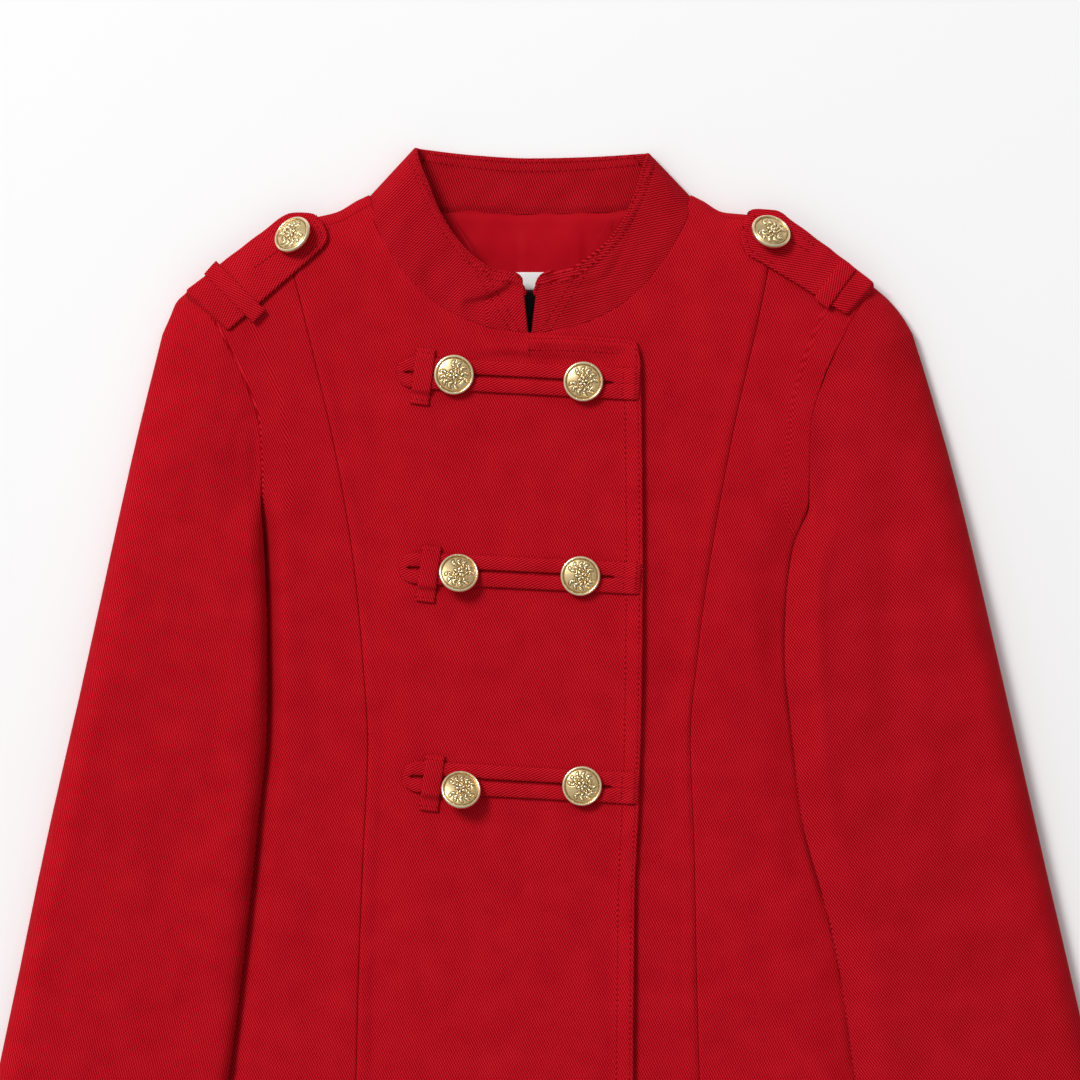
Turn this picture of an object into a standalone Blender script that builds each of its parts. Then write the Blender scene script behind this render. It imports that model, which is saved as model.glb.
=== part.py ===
"""A red military-style blazer laid out face up, with its sleeves beside it.

Metres, +Z up from the surface that it lies on, +Y towards the collar. The wearer's right side is at -X.
Every panel is a wall of cloth. A panel is a net of points between its four seam lines, and each point
gets the height at which the cloth lies there. Neighbouring panels share the points of their seam.
"Down" is the distance below the neck points, where the shoulder seams meet the collar.
"""

import math

import bpy
import numpy as np
from mathutils import Vector
from mathutils.bvhtree import BVHTree

# Driving dimensions
CLOTH = 0.0016  # twill with its interfacing
THIN = 0.0010  # lining, labels and the collar's inner layer
SEAM_GAP = 0.00045
LAY_GAP = 0.0005  # between one layer and the next one on it
HEM = 0.600  # down
UNDERARM = 0.215  # down
LAP = CLOTH + LAY_GAP  # the right front's rise over the left one
LAP_START, LAP_RISE = -0.088, 0.024  # x where the rise starts, and its width
SHOULDER_SEAM = {-1: 0.0060, 1: 0.0025}  # from the silhouette to the seam on top
BUTTON_RADIUS = 0.0111
BUTTON_STEPS = 16
SHANK_RADIUS = 0.0017
BUTTON_CLEAR = 0.0014  # its back above the cloth
LEAN_LIFT = 0.75  # of what a leaning button's low side sinks, how much further it stands off
LOOP_CLOTH = 0.0018
LOOP_HALF = 0.0090  # half the width of a button loop's two strands
SLIT_HALF = 0.0004
SLIT_AT_BUTTON = 0.0021
KEEPER_CLOTH = 0.0014
EPAULETTE_CLOTH = 0.0020
EPAULETTE_REACH = 0.0065  # how far it stands past the shoulder's silhouette

# How the cloth lies
FOLD_Z = 0.0050  # middle of a sleeve's or shoulder's fold
SIDE_Z = 0.0035  # middle of the body's side fold
SIDE_LOFT = 0.0070  # top of the body where a sleeve lies on it
SIDE_ROUND = 0.0060
TUCK_WIDTH = 0.030  # of the slope from the body's top down to SIDE_LOFT
TUCK_START, TUCK_LENGTH = 0.145, 0.050
CLIMB_START, CLIMB_LENGTH = 0.184, 0.012  # down, where a sleeve's underside starts to lie on the body
SLEEVE_REST = 0.0008  # clear of the body below it
SLEEVE_EDGE = 0.0045  # from the underside to the middle of the inner fold
INNER_ROUND = 0.0090
STEP_WIDTH, STEP_CLEAR = 0.018, 0.005  # where its underside starts and ends its climb, beside the body

# Height of the front along its middle, by distance down
LOFT = [(-0.03, 0.0200), (0.05, 0.0222), (0.10, 0.0218), (0.16, 0.0200), (0.22, 0.0188),
        (0.30, 0.0162), (0.40, 0.0135), (0.50, 0.0116), (0.61, 0.0100)]
# Height of a sleeve along its middle, by distance down
SLEEVE_LOFT = [(0.04, 0.0225), (0.15, 0.0240), (0.25, 0.0245), (0.35, 0.0225), (0.45, 0.0200),
               (0.55, 0.0178), (0.65, 0.0160)]
# Width of the rounding from the silhouette to the flat top, by distance down
ROUNDING = [(0.00, 0.036), (0.09, 0.034), (0.16, 0.020), (0.25, 0.015), (0.65, 0.012)]

# Silhouette from the neck point over the shoulder to the sleeve's corner, as x and down.
SHOULDER = {
    -1: [(-0.0885, -0.0030), (-0.0935, -0.0011), (-0.1060, 0.0066), (-0.1180, 0.0095), (-0.1310, 0.0120),
         (-0.1425, 0.0190), (-0.1535, 0.0278), (-0.1650, 0.0365), (-0.1804, 0.0429), (-0.1859, 0.0473)],
    1: [(0.0885, -0.0030), (0.0930, -0.0011), (0.1084, 0.0075), (0.1200, 0.0080), (0.1310, 0.0095),
        (0.1420, 0.0150), (0.1535, 0.0240), (0.1640, 0.0325), (0.1826, 0.0429), (0.1887, 0.0473)],
}
CORNER = {
    -1: [(-0.1859, 0.0473), (-0.1903, 0.0517), (-0.1947, 0.0561), (-0.1985, 0.0649), (-0.2024, 0.0737)],
    1: [(0.1887, 0.0473), (0.1940, 0.0517), (0.1986, 0.0561), (0.2050, 0.0640), (0.2107, 0.0737)],
}
# Sleeve: outer fold, and armhole seam that runs on as the inner fold, as x and down.
OUTER_FOLD = {
    -1: [(-0.2024, 0.0737), (-0.2168, 0.1320), (-0.2486, 0.2750), (-0.2662, 0.3520), (-0.2845, 0.4400),
         (-0.3237, 0.6220)],
    1: [(0.2107, 0.0737), (0.2250, 0.1210), (0.2369, 0.1650), (0.2628, 0.2750), (0.2829, 0.3630),
        (0.2983, 0.4290), (0.3424, 0.6180)],
}
ARMHOLE = {
    -1: [(-0.1859, 0.0473), (-0.1694, 0.0743), (-0.1557, 0.1018), (-0.1490, 0.1200), (-0.1474, 0.1485),
         (-0.1472, 0.1650)],
    1: [(0.1887, 0.0473), (0.1745, 0.0700), (0.1600, 0.1010), (0.1542, 0.1200), (0.1535, 0.1400),
        (0.1530, 0.1650)],
}
INNER_FOLD = {
    -1: [(-0.1472, 0.1650), (-0.1445, 0.2250), (-0.1442, 0.2800), (-0.1490, 0.3400), (-0.1568, 0.4125),
         (-0.1656, 0.4840), (-0.1800, 0.5550), (-0.2050, 0.6450)],
    1: [(0.1530, 0.1650), (0.1420, 0.2020), (0.1395, 0.2450), (0.1440, 0.2970), (0.1525, 0.3600),
        (0.1685, 0.4100), (0.1765, 0.4730), (0.1960, 0.5550), (0.2240, 0.6440)],
}
# Hidden lines: the rest of the front armhole, the back armhole and the body's side fold.
FRONT_ARMHOLE_END = [(0.1480, 0.1650), (0.1520, 0.1820), (0.1660, 0.1990), (0.1880, 0.2110), (0.2050, 0.2150)]
BACK_ARMHOLE = [(0.1740, 0.0900), (0.1710, 0.1350), (0.1800, 0.1850), (0.2050, 0.2150)]
SIDE = [(0.2050, 0.2150), (0.1930, 0.2900), (0.1850, 0.3700), (0.1900, 0.4500), (0.2080, 0.5400), (0.2200, 0.6000)]
# Seams on the fronts
PRINCESS = {
    -1: [(-0.1350, 0.0200), (-0.1205, 0.0787), (-0.1060, 0.1430), (-0.0957, 0.2090), (-0.0913, 0.2600),
         (-0.0890, 0.3050), (-0.0930, 0.3850), (-0.0957, 0.4840), (-0.1010, 0.6000)],
    1: [(0.1355, 0.0150), (0.1265, 0.0605), (0.1128, 0.1210), (0.1007, 0.1870), (0.0925, 0.2450),
        (0.0880, 0.3025), (0.0902, 0.3575), (0.0924, 0.4620), (0.0990, 0.6000)],
}
FRONT_EDGE = [(0.0585, 0.0782), (0.0606, 0.0880), (0.0620, 0.1980), (0.0608, 0.3050), (0.0575, 0.3900), (0.0560, 0.6000)]
HIDDEN_EDGE = [(-0.0600, 0.0790), (-0.0600, 0.6000)]
FLAP_TOP = [(0.0200, 0.0748), (0.0400, 0.0758), (0.0530, 0.0768)]
HIDDEN_TOP = [(-0.0200, 0.0750), (-0.0400, 0.0770)]
# Collar: where each section meets its seam and where it ends at the top edge, as x, y and z.
# The front sections take their seam height from the front, so it isn't listed (None).
COLLAR = {
    -1: [(-0.0008, -0.0733, None, -0.0044, -0.0429, 0.0215), (-0.0070, -0.0730, None, -0.0077, -0.0402, 0.0215),
         (-0.0200, -0.0710, None, -0.0204, -0.0374, 0.0215), (-0.0350, -0.0658, None, -0.0330, -0.0290, 0.0210),
         (-0.0490, -0.0586, None, -0.0425, -0.0175, 0.0205), (-0.0630, -0.0466, None, -0.0505, -0.0035, 0.0195),
         (-0.0772, -0.0277, None, -0.0565, 0.0110, 0.0180), (-0.0862, -0.0100, None, -0.0608, 0.0225, 0.0160),
         (-0.0885, -0.0035, 0.0125, -0.0624, 0.0275, 0.0125), (-0.0895, 0.0008, 0.0068, -0.0630, 0.0294, 0.0068),
         (-0.0868, -0.0018, 0.0018, -0.0605, 0.0288, 0.0018), (-0.0800, -0.0040, 0.0000, -0.0540, 0.0277, 0.0000),
         (-0.0450, -0.0066, 0.0000, -0.0300, 0.0250, 0.0000), (0.0000, -0.0078, 0.0000, 0.0000, 0.0234, 0.0000)],
    1: [(0.0008, -0.0733, None, 0.0042, -0.0429, 0.0205), (0.0070, -0.0730, None, 0.0077, -0.0402, 0.0205),
        (0.0200, -0.0710, None, 0.0195, -0.0385, 0.0205), (0.0350, -0.0658, None, 0.0325, -0.0312, 0.0205),
        (0.0490, -0.0586, None, 0.0435, -0.0215, 0.0200), (0.0630, -0.0466, None, 0.0520, -0.0090, 0.0190),
        (0.0772, -0.0277, None, 0.0585, 0.0060, 0.0175), (0.0862, -0.0100, None, 0.0625, 0.0190, 0.0155),
        (0.0885, -0.0035, 0.0125, 0.0642, 0.0240, 0.0125), (0.0895, 0.0008, 0.0068, 0.0650, 0.0265, 0.0068),
        (0.0868, -0.0018, 0.0018, 0.0626, 0.0262, 0.0018), (0.0800, -0.0040, 0.0000, 0.0560, 0.0255, 0.0000),
        (0.0450, -0.0066, 0.0000, 0.0300, 0.0240, 0.0000), (0.0000, -0.0078, 0.0000, 0.0000, 0.0234, 0.0000)],
}
# Button loops: the tip's and the front end's place, the loop keeper's place, and the two buttons.
# Columns: tip x, tip down, end x, end down, keeper x, keeper down, inner button x, down, outer button x, down
LOOPS = [
    (-0.0735, 0.0948, 0.0595, 0.1018, -0.0587, 0.0974, -0.0416, 0.0957, 0.0292, 0.0996),
    (-0.0720, 0.2020, 0.0600, 0.2082, -0.0556, 0.2057, -0.0390, 0.2052, 0.0275, 0.2085),
    (-0.0706, 0.3165, 0.0590, 0.3235, -0.0537, 0.3204, -0.0378, 0.3242, 0.0284, 0.3239),
]
LEANS = {("inner", 2): 16.0, ("inner", 3): 30.0}  # degrees that a button leans towards the collar
SHOULDER_LEAN = 20.0  # degrees that the epaulettes' buttons lean out, more than their cloth
KEEPER_HALF, KEEPER_LENGTH, KEEPER_SLANT = 0.0053, 0.0320, 0.0040
# Epaulettes: the back and front edges from the armhole to the point, the button's middle, and the
# shoulder keeper's two ends, as x and down.
EPAULETTES = {
    -1: {"back": [(-0.1893, 0.0540), (-0.1430, 0.0158), (-0.1331, 0.0080), (-0.1178, 0.0084)],
         "front": [(-0.1667, 0.0737), (-0.1180, 0.0310), (-0.1106, 0.0242), (-0.1113, 0.0175)],
         "button": (-0.1300, 0.0202), "keeper": [(-0.1750, 0.0390), (-0.1480, 0.0648)]},
    1: {"back": [(0.1890, 0.0500), (0.1525, 0.0190), (0.1355, 0.0064), (0.1205, 0.0060)],
        "front": [(0.1755, 0.0649), (0.1260, 0.0345), (0.1177, 0.0303), (0.1153, 0.0200)],
        "button": (0.1318, 0.0185), "keeper": [(0.1742, 0.0372), (0.1592, 0.0578)]},
}
EPAULETTE_KEEPER_HALF = 0.0038
# Labels on the back lining: half width, top and bottom (down).
UPPER_LABEL = (0.0220, 0.0395, 0.0495)
LOWER_LABEL = (0.0180, 0.0500, 0.0780)
LINING_HALF, LINING_BOTTOM = 0.0780, 0.1150

# Rows of the body's panels, as distances down the armhole and side
ARMHOLE_ROWS = [0.0473, 0.060, 0.078, 0.100, 0.125, 0.150, 0.168, 0.185, 0.201, 0.211]
SEEN_ROWS = 7  # of these, the ones above the place where the sleeve covers the seam
SIDE_ROWS = [0.215, 0.235, 0.270, 0.315, 0.370, 0.430, 0.490, 0.545, 0.600]
SLEEVE_ROWS = [0.2225, 0.250, 0.290, 0.340, 0.390, 0.440, 0.490, 0.540, 0.590, 0.618]

SIDE_NAMES = {-1: "right", 1: "left"}
COLOURS = {
    "twill": ((0.43, 0.008, 0.018, 1.0), 0.85, 0.0),
    "lining": ((0.50, 0.020, 0.030, 1.0), 0.60, 0.0),
    "white_label": ((0.80, 0.80, 0.78, 1.0), 0.70, 0.0),
    "black_label": ((0.012, 0.012, 0.013, 1.0), 0.70, 0.0),
    "gold": ((0.80, 0.62, 0.28, 1.0), 0.28, 1.0),
}


# Curves and nets -------------------------------------------------------------------------------------------
def ease(t):
    """0 to 1 with level ends."""
    t = np.clip(t, 0.0, 1.0)
    return t * t * (3.0 - 2.0 * t)


def dome(t):
    """Quarter ellipse: 0 and upright at a fold's edge, 1 and level at t = 1."""
    t = np.clip(t, 0.0, 1.0)
    return np.sqrt(1.0 - (1.0 - t) ** 2)


def smooth(rows, at):
    """Value at `at` on a smooth curve through (position, value) rows, which doesn't overshoot."""
    x, y = np.array(rows, float).T
    at = np.clip(at, x[0], x[-1])
    step = np.diff(x)
    slope = np.diff(y) / step
    before, after = slope[:-1], slope[1:]
    tangent = np.concatenate([slope[:1], np.zeros(len(slope) - 1), slope[-1:]])
    same_way = before * after > 0
    tangent[1:-1][same_way] = 2 * (before * after)[same_way] / (before + after)[same_way]
    k = np.clip(np.searchsorted(x, at, side="right") - 1, 0, len(step) - 1)
    t = (at - x[k]) / step[k]
    return (
        (1 + 2 * t) * (1 - t) ** 2 * y[k]
        + t * (1 - t) ** 2 * step[k] * tangent[k]
        + t * t * (3 - 2 * t) * y[k + 1]
        + t * t * (t - 1) * step[k] * tangent[k + 1]
    )


def spline(points, shares):
    """Points at these shares of the length of a smooth curve through the given points."""
    p = np.array(points, float)
    p = np.vstack([2 * p[0] - p[1], p, 2 * p[-1] - p[-2]])
    fine = []
    for a, b, c, d in zip(p, p[1:], p[2:], p[3:]):
        for t in np.linspace(0, 1, 16, endpoint=False):
            fine.append(0.5 * (2 * b + (c - a) * t + (2 * a - 5 * b + 4 * c - d) * t**2
                               + (3 * b - a - 3 * c + d) * t**3))
    fine = np.array(fine + [p[-2]])
    run = np.concatenate([[0], np.cumsum(np.linalg.norm(np.diff(fine, axis=0), axis=1))])
    return np.column_stack([np.interp(np.array(shares) * run[-1], run, column) for column in fine.T])


def flipped(points):
    """(x, down) rows as (x, y) points."""
    return [(x, -down) for x, down in points]


def mirrored(points, side):
    """Rows that are listed for the left side, for either side."""
    return [(side * x, down) for x, down in points]


def at_downs(line, downs):
    """(x, y) points of an (x, down) line at these distances down."""
    x = smooth([(down, x) for x, down in line], np.array(downs))
    return np.column_stack([x, -np.array(downs)])


def back_armhole(side, downs):
    return at_downs([ARMHOLE[side][0]] + mirrored(BACK_ARMHOLE, side), downs)


def stretched(downs, top, bottom):
    """The same spacing of rows between another top and bottom."""
    share = (np.array(downs) - downs[0]) / (downs[-1] - downs[0])
    return top + share * (bottom - top)


def shares_of(points):
    run = np.concatenate([[0], np.cumsum(np.linalg.norm(np.diff(points, axis=0), axis=1))])
    return run / run[-1]


def net(left, right, shares, top=None, fade=3):
    """Rows of plan points from the left line to the right one, at these shares of the way, which may
    differ from row to row. The first row follows the `top` line, and the next ones do so less and less."""
    shares = np.broadcast_to(shares, (len(left), np.shape(shares)[-1]))[..., None]
    plan = (1 - shares) * left[:, None] + shares * right[:, None]
    if top is not None:
        plan = plan + ((1 - shares_of(left)) ** fade)[:, None, None] * (top - plan[0])
    return plan


def draw_in(points, edge, beside, by):
    """Moves an edge of a net towards the line of points beside it."""
    way = points[beside] - points[edge]
    points[edge] += way * (by / np.linalg.norm(way, axis=-1, keepdims=True))


# Heights of the cloth --------------------------------------------------------------------------------------
SILHOUETTE = {
    side: np.vstack([flipped(SHOULDER[side]), flipped(CORNER[side][1:]), at_downs(
        OUTER_FOLD[side], np.linspace(CORNER[side][-1][1], OUTER_FOLD[side][-1][1], 12))[1:]])
    for side in (-1, 1)
}


def inside_by(side, x, y):
    """How far a point lies inside that side's silhouette, negative outside it."""
    line = SILHOUETTE[side]
    start, way = line[:-1], np.diff(line, axis=0)
    point = np.stack(np.broadcast_arrays(x, y), axis=-1)[..., None, :]
    share = np.clip(((point - start) * way).sum(-1) / (way**2).sum(-1), 0, 1)
    off = point - (start + share[..., None] * way)
    distance = np.linalg.norm(off, axis=-1)
    nearest = distance.argmin(-1)[..., None]
    turn = way[:, 0] * off[..., 1] - way[:, 1] * off[..., 0]
    sign = np.where(-side * np.take_along_axis(turn, nearest, -1)[..., 0] >= 0, 1.0, -1.0)
    return sign * np.take_along_axis(distance, nearest, -1)[..., 0]


def rounded_off(side, x, y, loft):
    """The loft, rounded down to the fold's height at the silhouette."""
    width = smooth(ROUNDING, -y)
    return FOLD_Z + (loft - FOLD_Z) * dome(inside_by(side, x, y) / width)


def side_of(x):
    return np.where(x < 0, -1, 1)


def by_side(function, x, y):
    """The function's value for whichever side of the blazer each point is on."""
    return np.where(side_of(x) < 0, function(-1, x, y), function(1, x, y))


def inner_fold_x(side, down):
    return np.abs(at_downs(INNER_FOLD[side], np.clip(down, 0.165, INNER_FOLD[side][-1][1]).ravel())[:, 0]
                  ).reshape(np.shape(down))


def side_x(down):
    return smooth([(d, x) for x, d in SIDE], down)


def front_on_side(side, x, y):
    down = -y
    height = rounded_off(side, x, y, smooth(LOFT, down))
    slope_start = inner_fold_x(side, down) - TUCK_WIDTH
    tucked = ease((np.abs(x) - slope_start) / TUCK_WIDTH) * ease((down - TUCK_START) / TUCK_LENGTH)
    height = height + (SIDE_LOFT - height) * tucked
    at_side = SIDE_Z + (height - SIDE_Z) * dome((side_x(down) - np.abs(x)) / SIDE_ROUND)
    return np.where(down >= UNDERARM - 1e-6, at_side, height)


def front_height(x, y):
    """Top of a front that lies on no other front."""
    return by_side(front_on_side, x, y)


def lapped_height(x, y):
    """Top of the right front, which rises over the left one."""
    return front_height(x, y) + LAP * ease((x - LAP_START) / LAP_RISE)


def body_below(side, x, y):
    """Rest height of a sleeve where the body lies below it, 0 beside it."""
    to_side = side_x(np.clip(-y, UNDERARM, HEM)) - np.abs(x)
    return (SIDE_LOFT + SLEEVE_REST) * ease((to_side + STEP_WIDTH) / (STEP_WIDTH - STEP_CLEAR))


def fold_start(down):
    """0 where the sleeve is still sewn to the front, 1 where its inner edge is a free fold."""
    return ease((down - TUCK_START) / TUCK_LENGTH)


def from_inner(side, x, y):
    """How far a point lies from the sleeve's armhole seam or inner fold."""
    line = [(down, abs(at)) for at, down in ARMHOLE[side] + INNER_FOLD[side][1:]]
    return np.abs(x) - smooth(line, -y)


def sleeve_top_height(side, x, y):
    down = -y
    inward = from_inner(side, x, y)
    own = np.maximum(ease(inward / 0.030), fold_start(down))
    loft = smooth(LOFT, down) + (smooth(SLEEVE_LOFT, down) - smooth(LOFT, down)) * own
    height = rounded_off(side, x, y, loft)
    edge = body_below(side, x, y) + SLEEVE_EDGE
    rolled = edge + (height - edge) * dome(inward / INNER_ROUND)
    return height + (rolled - height) * fold_start(down)


def sleeve_under_height(side, x, y):
    down = -y
    low = body_below(side, x, y) * ease((down - CLIMB_START) / CLIMB_LENGTH)
    outer = FOLD_Z * (1 - dome(inside_by(side, x, y) / FOLD_Z))
    inner = SLEEVE_EDGE * (1 - dome(from_inner(side, x, y) / SLEEVE_EDGE)) * (down > UNDERARM + 0.002)
    return low + outer + inner


def back_height(x, y):
    """Underside of the back: flat, and rounded up at the side folds."""
    down = -y
    rise = SIDE_Z * (1 - dome((side_x(down) - np.abs(x)) / SIDE_Z))
    return rise * ease((down - UNDERARM + 0.008) / 0.025)


def epaulette_height(side, x, y):
    """Underside of an epaulette, which bridges the shoulder's fold and stands a little past it."""
    width = smooth(ROUNDING, -y) + EPAULETTE_REACH
    rise = (smooth(LOFT, -y) - FOLD_Z) * dome((inside_by(side, x, y) + EPAULETTE_REACH) / width)
    return LAY_GAP + 0.0003 + FOLD_Z + rise


# Placing: the middle of the whole outline goes to the origin, on the surface it lies on.
PLACE = Vector((-(OUTER_FOLD[-1][-1][0] + OUTER_FOLD[1][-1][0]) / 2,
                (INNER_FOLD[-1][-1][1] - COLLAR[-1][9][4]) / 2, 0.0))


# Objects ---------------------------------------------------------------------------------------------------
def clear_scene():
    for thing in list(bpy.data.objects):
        bpy.data.objects.remove(thing)


def material(name):
    found = bpy.data.materials.get(name)
    if found:
        return found
    colour, roughness, metallic = COLOURS[name]
    made = bpy.data.materials.new(name)
    made.use_nodes = True
    shader = made.node_tree.nodes["Principled BSDF"]
    shader.inputs["Base Color"].default_value = colour
    shader.inputs["Roughness"].default_value = roughness
    shader.inputs["Metallic"].default_value = metallic
    made.diffuse_color = colour
    return made


def new_object(name, mesh, finish):
    made = bpy.data.objects.new(name, mesh)
    bpy.context.scene.collection.objects.link(made)
    made.location = PLACE
    if not mesh.materials:
        mesh.materials.append(material(finish))
    mesh.shade_smooth()
    return made


def laid(plan, height, facing=1):
    """A net's points at their heights, and which way its outer face looks there."""
    x, y = plan[..., 0], plan[..., 1]
    step = 0.00005
    slope_x = (height(x + step, y) - height(x - step, y)) / (2 * step)
    slope_y = (height(x, y + step) - height(x, y - step)) / (2 * step)
    outward = facing * np.stack([-slope_x, -slope_y, np.ones(slope_x.shape)], axis=-1)
    outward /= np.linalg.norm(outward, axis=-1, keepdims=True)
    return np.concatenate([plan, height(x, y)[..., None]], axis=-1), outward


def level_at(points, outward, edge, beside, weight=1.0):
    """Turns the outward direction at a fold's edge level, so that two walls meet there face to face."""
    way = points[edge] - points[beside]
    way[..., 2] = 0
    way /= np.linalg.norm(way, axis=-1, keepdims=True)
    turned = outward[edge] + (way - outward[edge]) * np.reshape(weight, np.shape(weight) + (1,))
    outward[edge] = turned / np.linalg.norm(turned, axis=-1, keepdims=True)


def level_at_silhouette(side, points, outward):
    """The same for the outer fold and the corner above it, the first column and row of a sleeve's net."""
    step = 0.002
    for edge in (np.s_[:, 0], np.s_[0, :]):
        x, y = points[edge][:, 0], points[edge][:, 1]
        way = np.stack([inside_by(side, x - step, y) - inside_by(side, x + step, y),
                        inside_by(side, x, y - step) - inside_by(side, x, y + step), 0 * x], axis=-1)
        outward[edge] = way / np.linalg.norm(way, axis=-1, keepdims=True)


def face_normals(points):
    """Outward directions of a net from its own shape, to the right of its rows' and columns' ways."""
    return np.cross(np.gradient(points, axis=0), np.gradient(points, axis=1))


def wall(name, nets, thickness=CLOTH, finish="twill"):
    """A cloth wall whose outer face is one or more nets of points that share points where they meet.
    Each net is its points and its outward directions."""
    places, ways, faces, number = [], [], [], {}
    for points, outward in nets:
        ids = np.empty(points.shape[:2], int)
        for spot in np.ndindex(ids.shape):
            key = tuple(np.round(points[spot], 6))
            if key not in number:
                number[key] = len(places)
                places.append(points[spot])
                ways.append(outward[spot])
            ids[spot] = number[key]
        turn = np.cross(points[1:, :-1] - points[:-1, :-1], points[:-1, 1:] - points[:-1, :-1])
        order = 1 if (turn * outward[:-1, :-1]).sum() > 0 else -1
        for r, c in np.ndindex(ids.shape[0] - 1, ids.shape[1] - 1):
            face = [ids[r, c], ids[r + 1, c], ids[r + 1, c + 1], ids[r, c + 1]]
            faces.append([v for i, v in enumerate(face) if v != face[i - 1]][::order])
    count = len(places)
    ways = np.array(ways) / np.linalg.norm(ways, axis=1, keepdims=True)
    inner = np.array(places) - thickness * ways
    edges = {(a, b) for face in faces for a, b in zip(face, face[1:] + face[:1])}
    rims = [(b, a, a + count, b + count) for a, b in edges if (b, a) not in edges]
    backs = [[v + count for v in face[::-1]] for face in faces]
    mesh = bpy.data.meshes.new(name)
    mesh.from_pydata([tuple(p) for p in places] + [tuple(p) for p in inner], [], faces + backs + sorted(rims))
    return new_object(name, mesh, finish)


def above(names, x, y):
    """Height of the topmost of these pieces at a plan point, or None beside them all."""
    found = []
    for name in names:
        if name not in TREES:
            mesh = bpy.data.objects[name].data
            TREES[name] = BVHTree.FromPolygons([v.co for v in mesh.vertices], [f.vertices for f in mesh.polygons])
        hit = TREES[name].ray_cast(Vector((x, y, 1.0)), Vector((0, 0, -1)))[0]
        if hit is not None:
            found.append(hit.z)
    return max(found, default=None)


def on_front(plan):
    """Height of the right front's cloth at plan points."""
    flat = np.reshape(plan, (-1, 2))
    return np.array([above(["front_centre_right"], x, y) for x, y in flat]).reshape(np.shape(plan)[:-1])


TREES = {}
UP = np.array([0.0, 0.0, 1.0])


def strip(name, plan, heights, thickness, finish="twill", outward=None):
    """A wall whose underside is at these heights."""
    points = np.concatenate([plan, heights[..., None]], axis=-1)
    outward = np.broadcast_to(UP, points.shape) if outward is None else outward
    return wall(name, [(points + thickness * outward, outward)], thickness, finish)


# Body ------------------------------------------------------------------------------------------------------
BODY_DOWNS = ARMHOLE_ROWS + SIDE_ROWS
SEAM_SHARES = [0.0, 0.02, 0.08, 0.30, 0.50, 0.75, 1.0]  # of the shoulder seam, armhole to princess seam
NECK_SHARES = [0.0, 0.3, 0.6, 0.85, 1.0]  # and from there to the neck
LAST_SEAM = len(SEAM_SHARES) - 1
LAST_AT_NECK = 58  # of the 60 points along the shoulder's line, the last that clears the collar's fold


def shoulder_points(side, inset):
    """Points of the shoulder's line, moved in from the silhouette: from the armhole to the neck."""
    line = spline(flipped(SHOULDER[side][::-1]), np.linspace(0, 1, 60))
    split = np.abs(line[:, 0] - PRINCESS[side][0][0]).argmin()
    way = np.gradient(line, axis=0)
    way /= np.linalg.norm(way, axis=1, keepdims=True)
    line = line + np.column_stack([way[:, 1], -way[:, 0]]) * -side * inset
    outer = spline(line[np.linspace(0, split, 9).astype(int)], SEAM_SHARES)
    inner = spline(line[np.linspace(split, LAST_AT_NECK, 7).astype(int)], NECK_SHARES)
    return np.vstack([outer, inner[1:]])


def neck_points(side):
    """The front's edge at the collar, from the shoulder seam to the centre."""
    rows = [row for row in COLLAR[side] if row[2] is None]
    return np.array([row[:2] for row in rows[::-1]])


def princess_points(side):
    top = -shoulder_points(side, SHOULDER_SEAM[side])[LAST_SEAM][1]
    line = at_downs([(PRINCESS[side][0][0], top)] + PRINCESS[side][1:], stretched(BODY_DOWNS, top, HEM))
    line[0] = shoulder_points(side, SHOULDER_SEAM[side])[LAST_SEAM]
    return line


def front_side(side):
    seen = at_downs(ARMHOLE[side], ARMHOLE_ROWS[:SEEN_ROWS])
    end = spline(flipped(mirrored(FRONT_ARMHOLE_END, side)), np.linspace(0, 1, 5))
    outer = np.vstack([seen, end[1:-1], at_downs(mirrored(SIDE, side), SIDE_ROWS)])
    inner = princess_points(side)
    seam = shoulder_points(side, SHOULDER_SEAM[side])[: LAST_SEAM + 1]
    outer[0] = seam[0]
    across = []
    for (x0, y0), (x1, y1) in zip(np.abs(outer), np.abs(inner)):
        tuck = float(inner_fold_x(side, y0))
        spots = np.array([x0, x0 - 0.001, x0 - SIDE_ROUND, tuck + 0.004, tuck - 0.010, tuck - 0.028, x1])
        shift = ease((y0 - 0.168) / 0.045)
        across.append(np.array(SEAM_SHARES) * (1 - shift) + (x0 - spots) / (x0 - x1) * shift)
    plan = net(outer, inner, np.array(across), top=seam)
    points, outward = laid(plan, lambda x, y: front_on_side(side, x, y))
    folded = len(ARMHOLE_ROWS)
    turning = ease((-points[folded:, 0, 1] - UNDERARM + 0.008) / 0.025)
    level_at(points, outward, np.s_[folded:, 0], np.s_[folded:, 1], weight=turning)
    draw_in(points, np.s_[:, -1], np.s_[:, -2], SEAM_GAP / 2)
    draw_in(points, np.s_[0], np.s_[1], SEAM_GAP / 2)
    draw_in(points, np.s_[:SEEN_ROWS, 0], np.s_[:SEEN_ROWS, 1], SEAM_GAP / 2)
    wall(f"front_side_{SIDE_NAMES[side]}", [(points, outward)])


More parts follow.
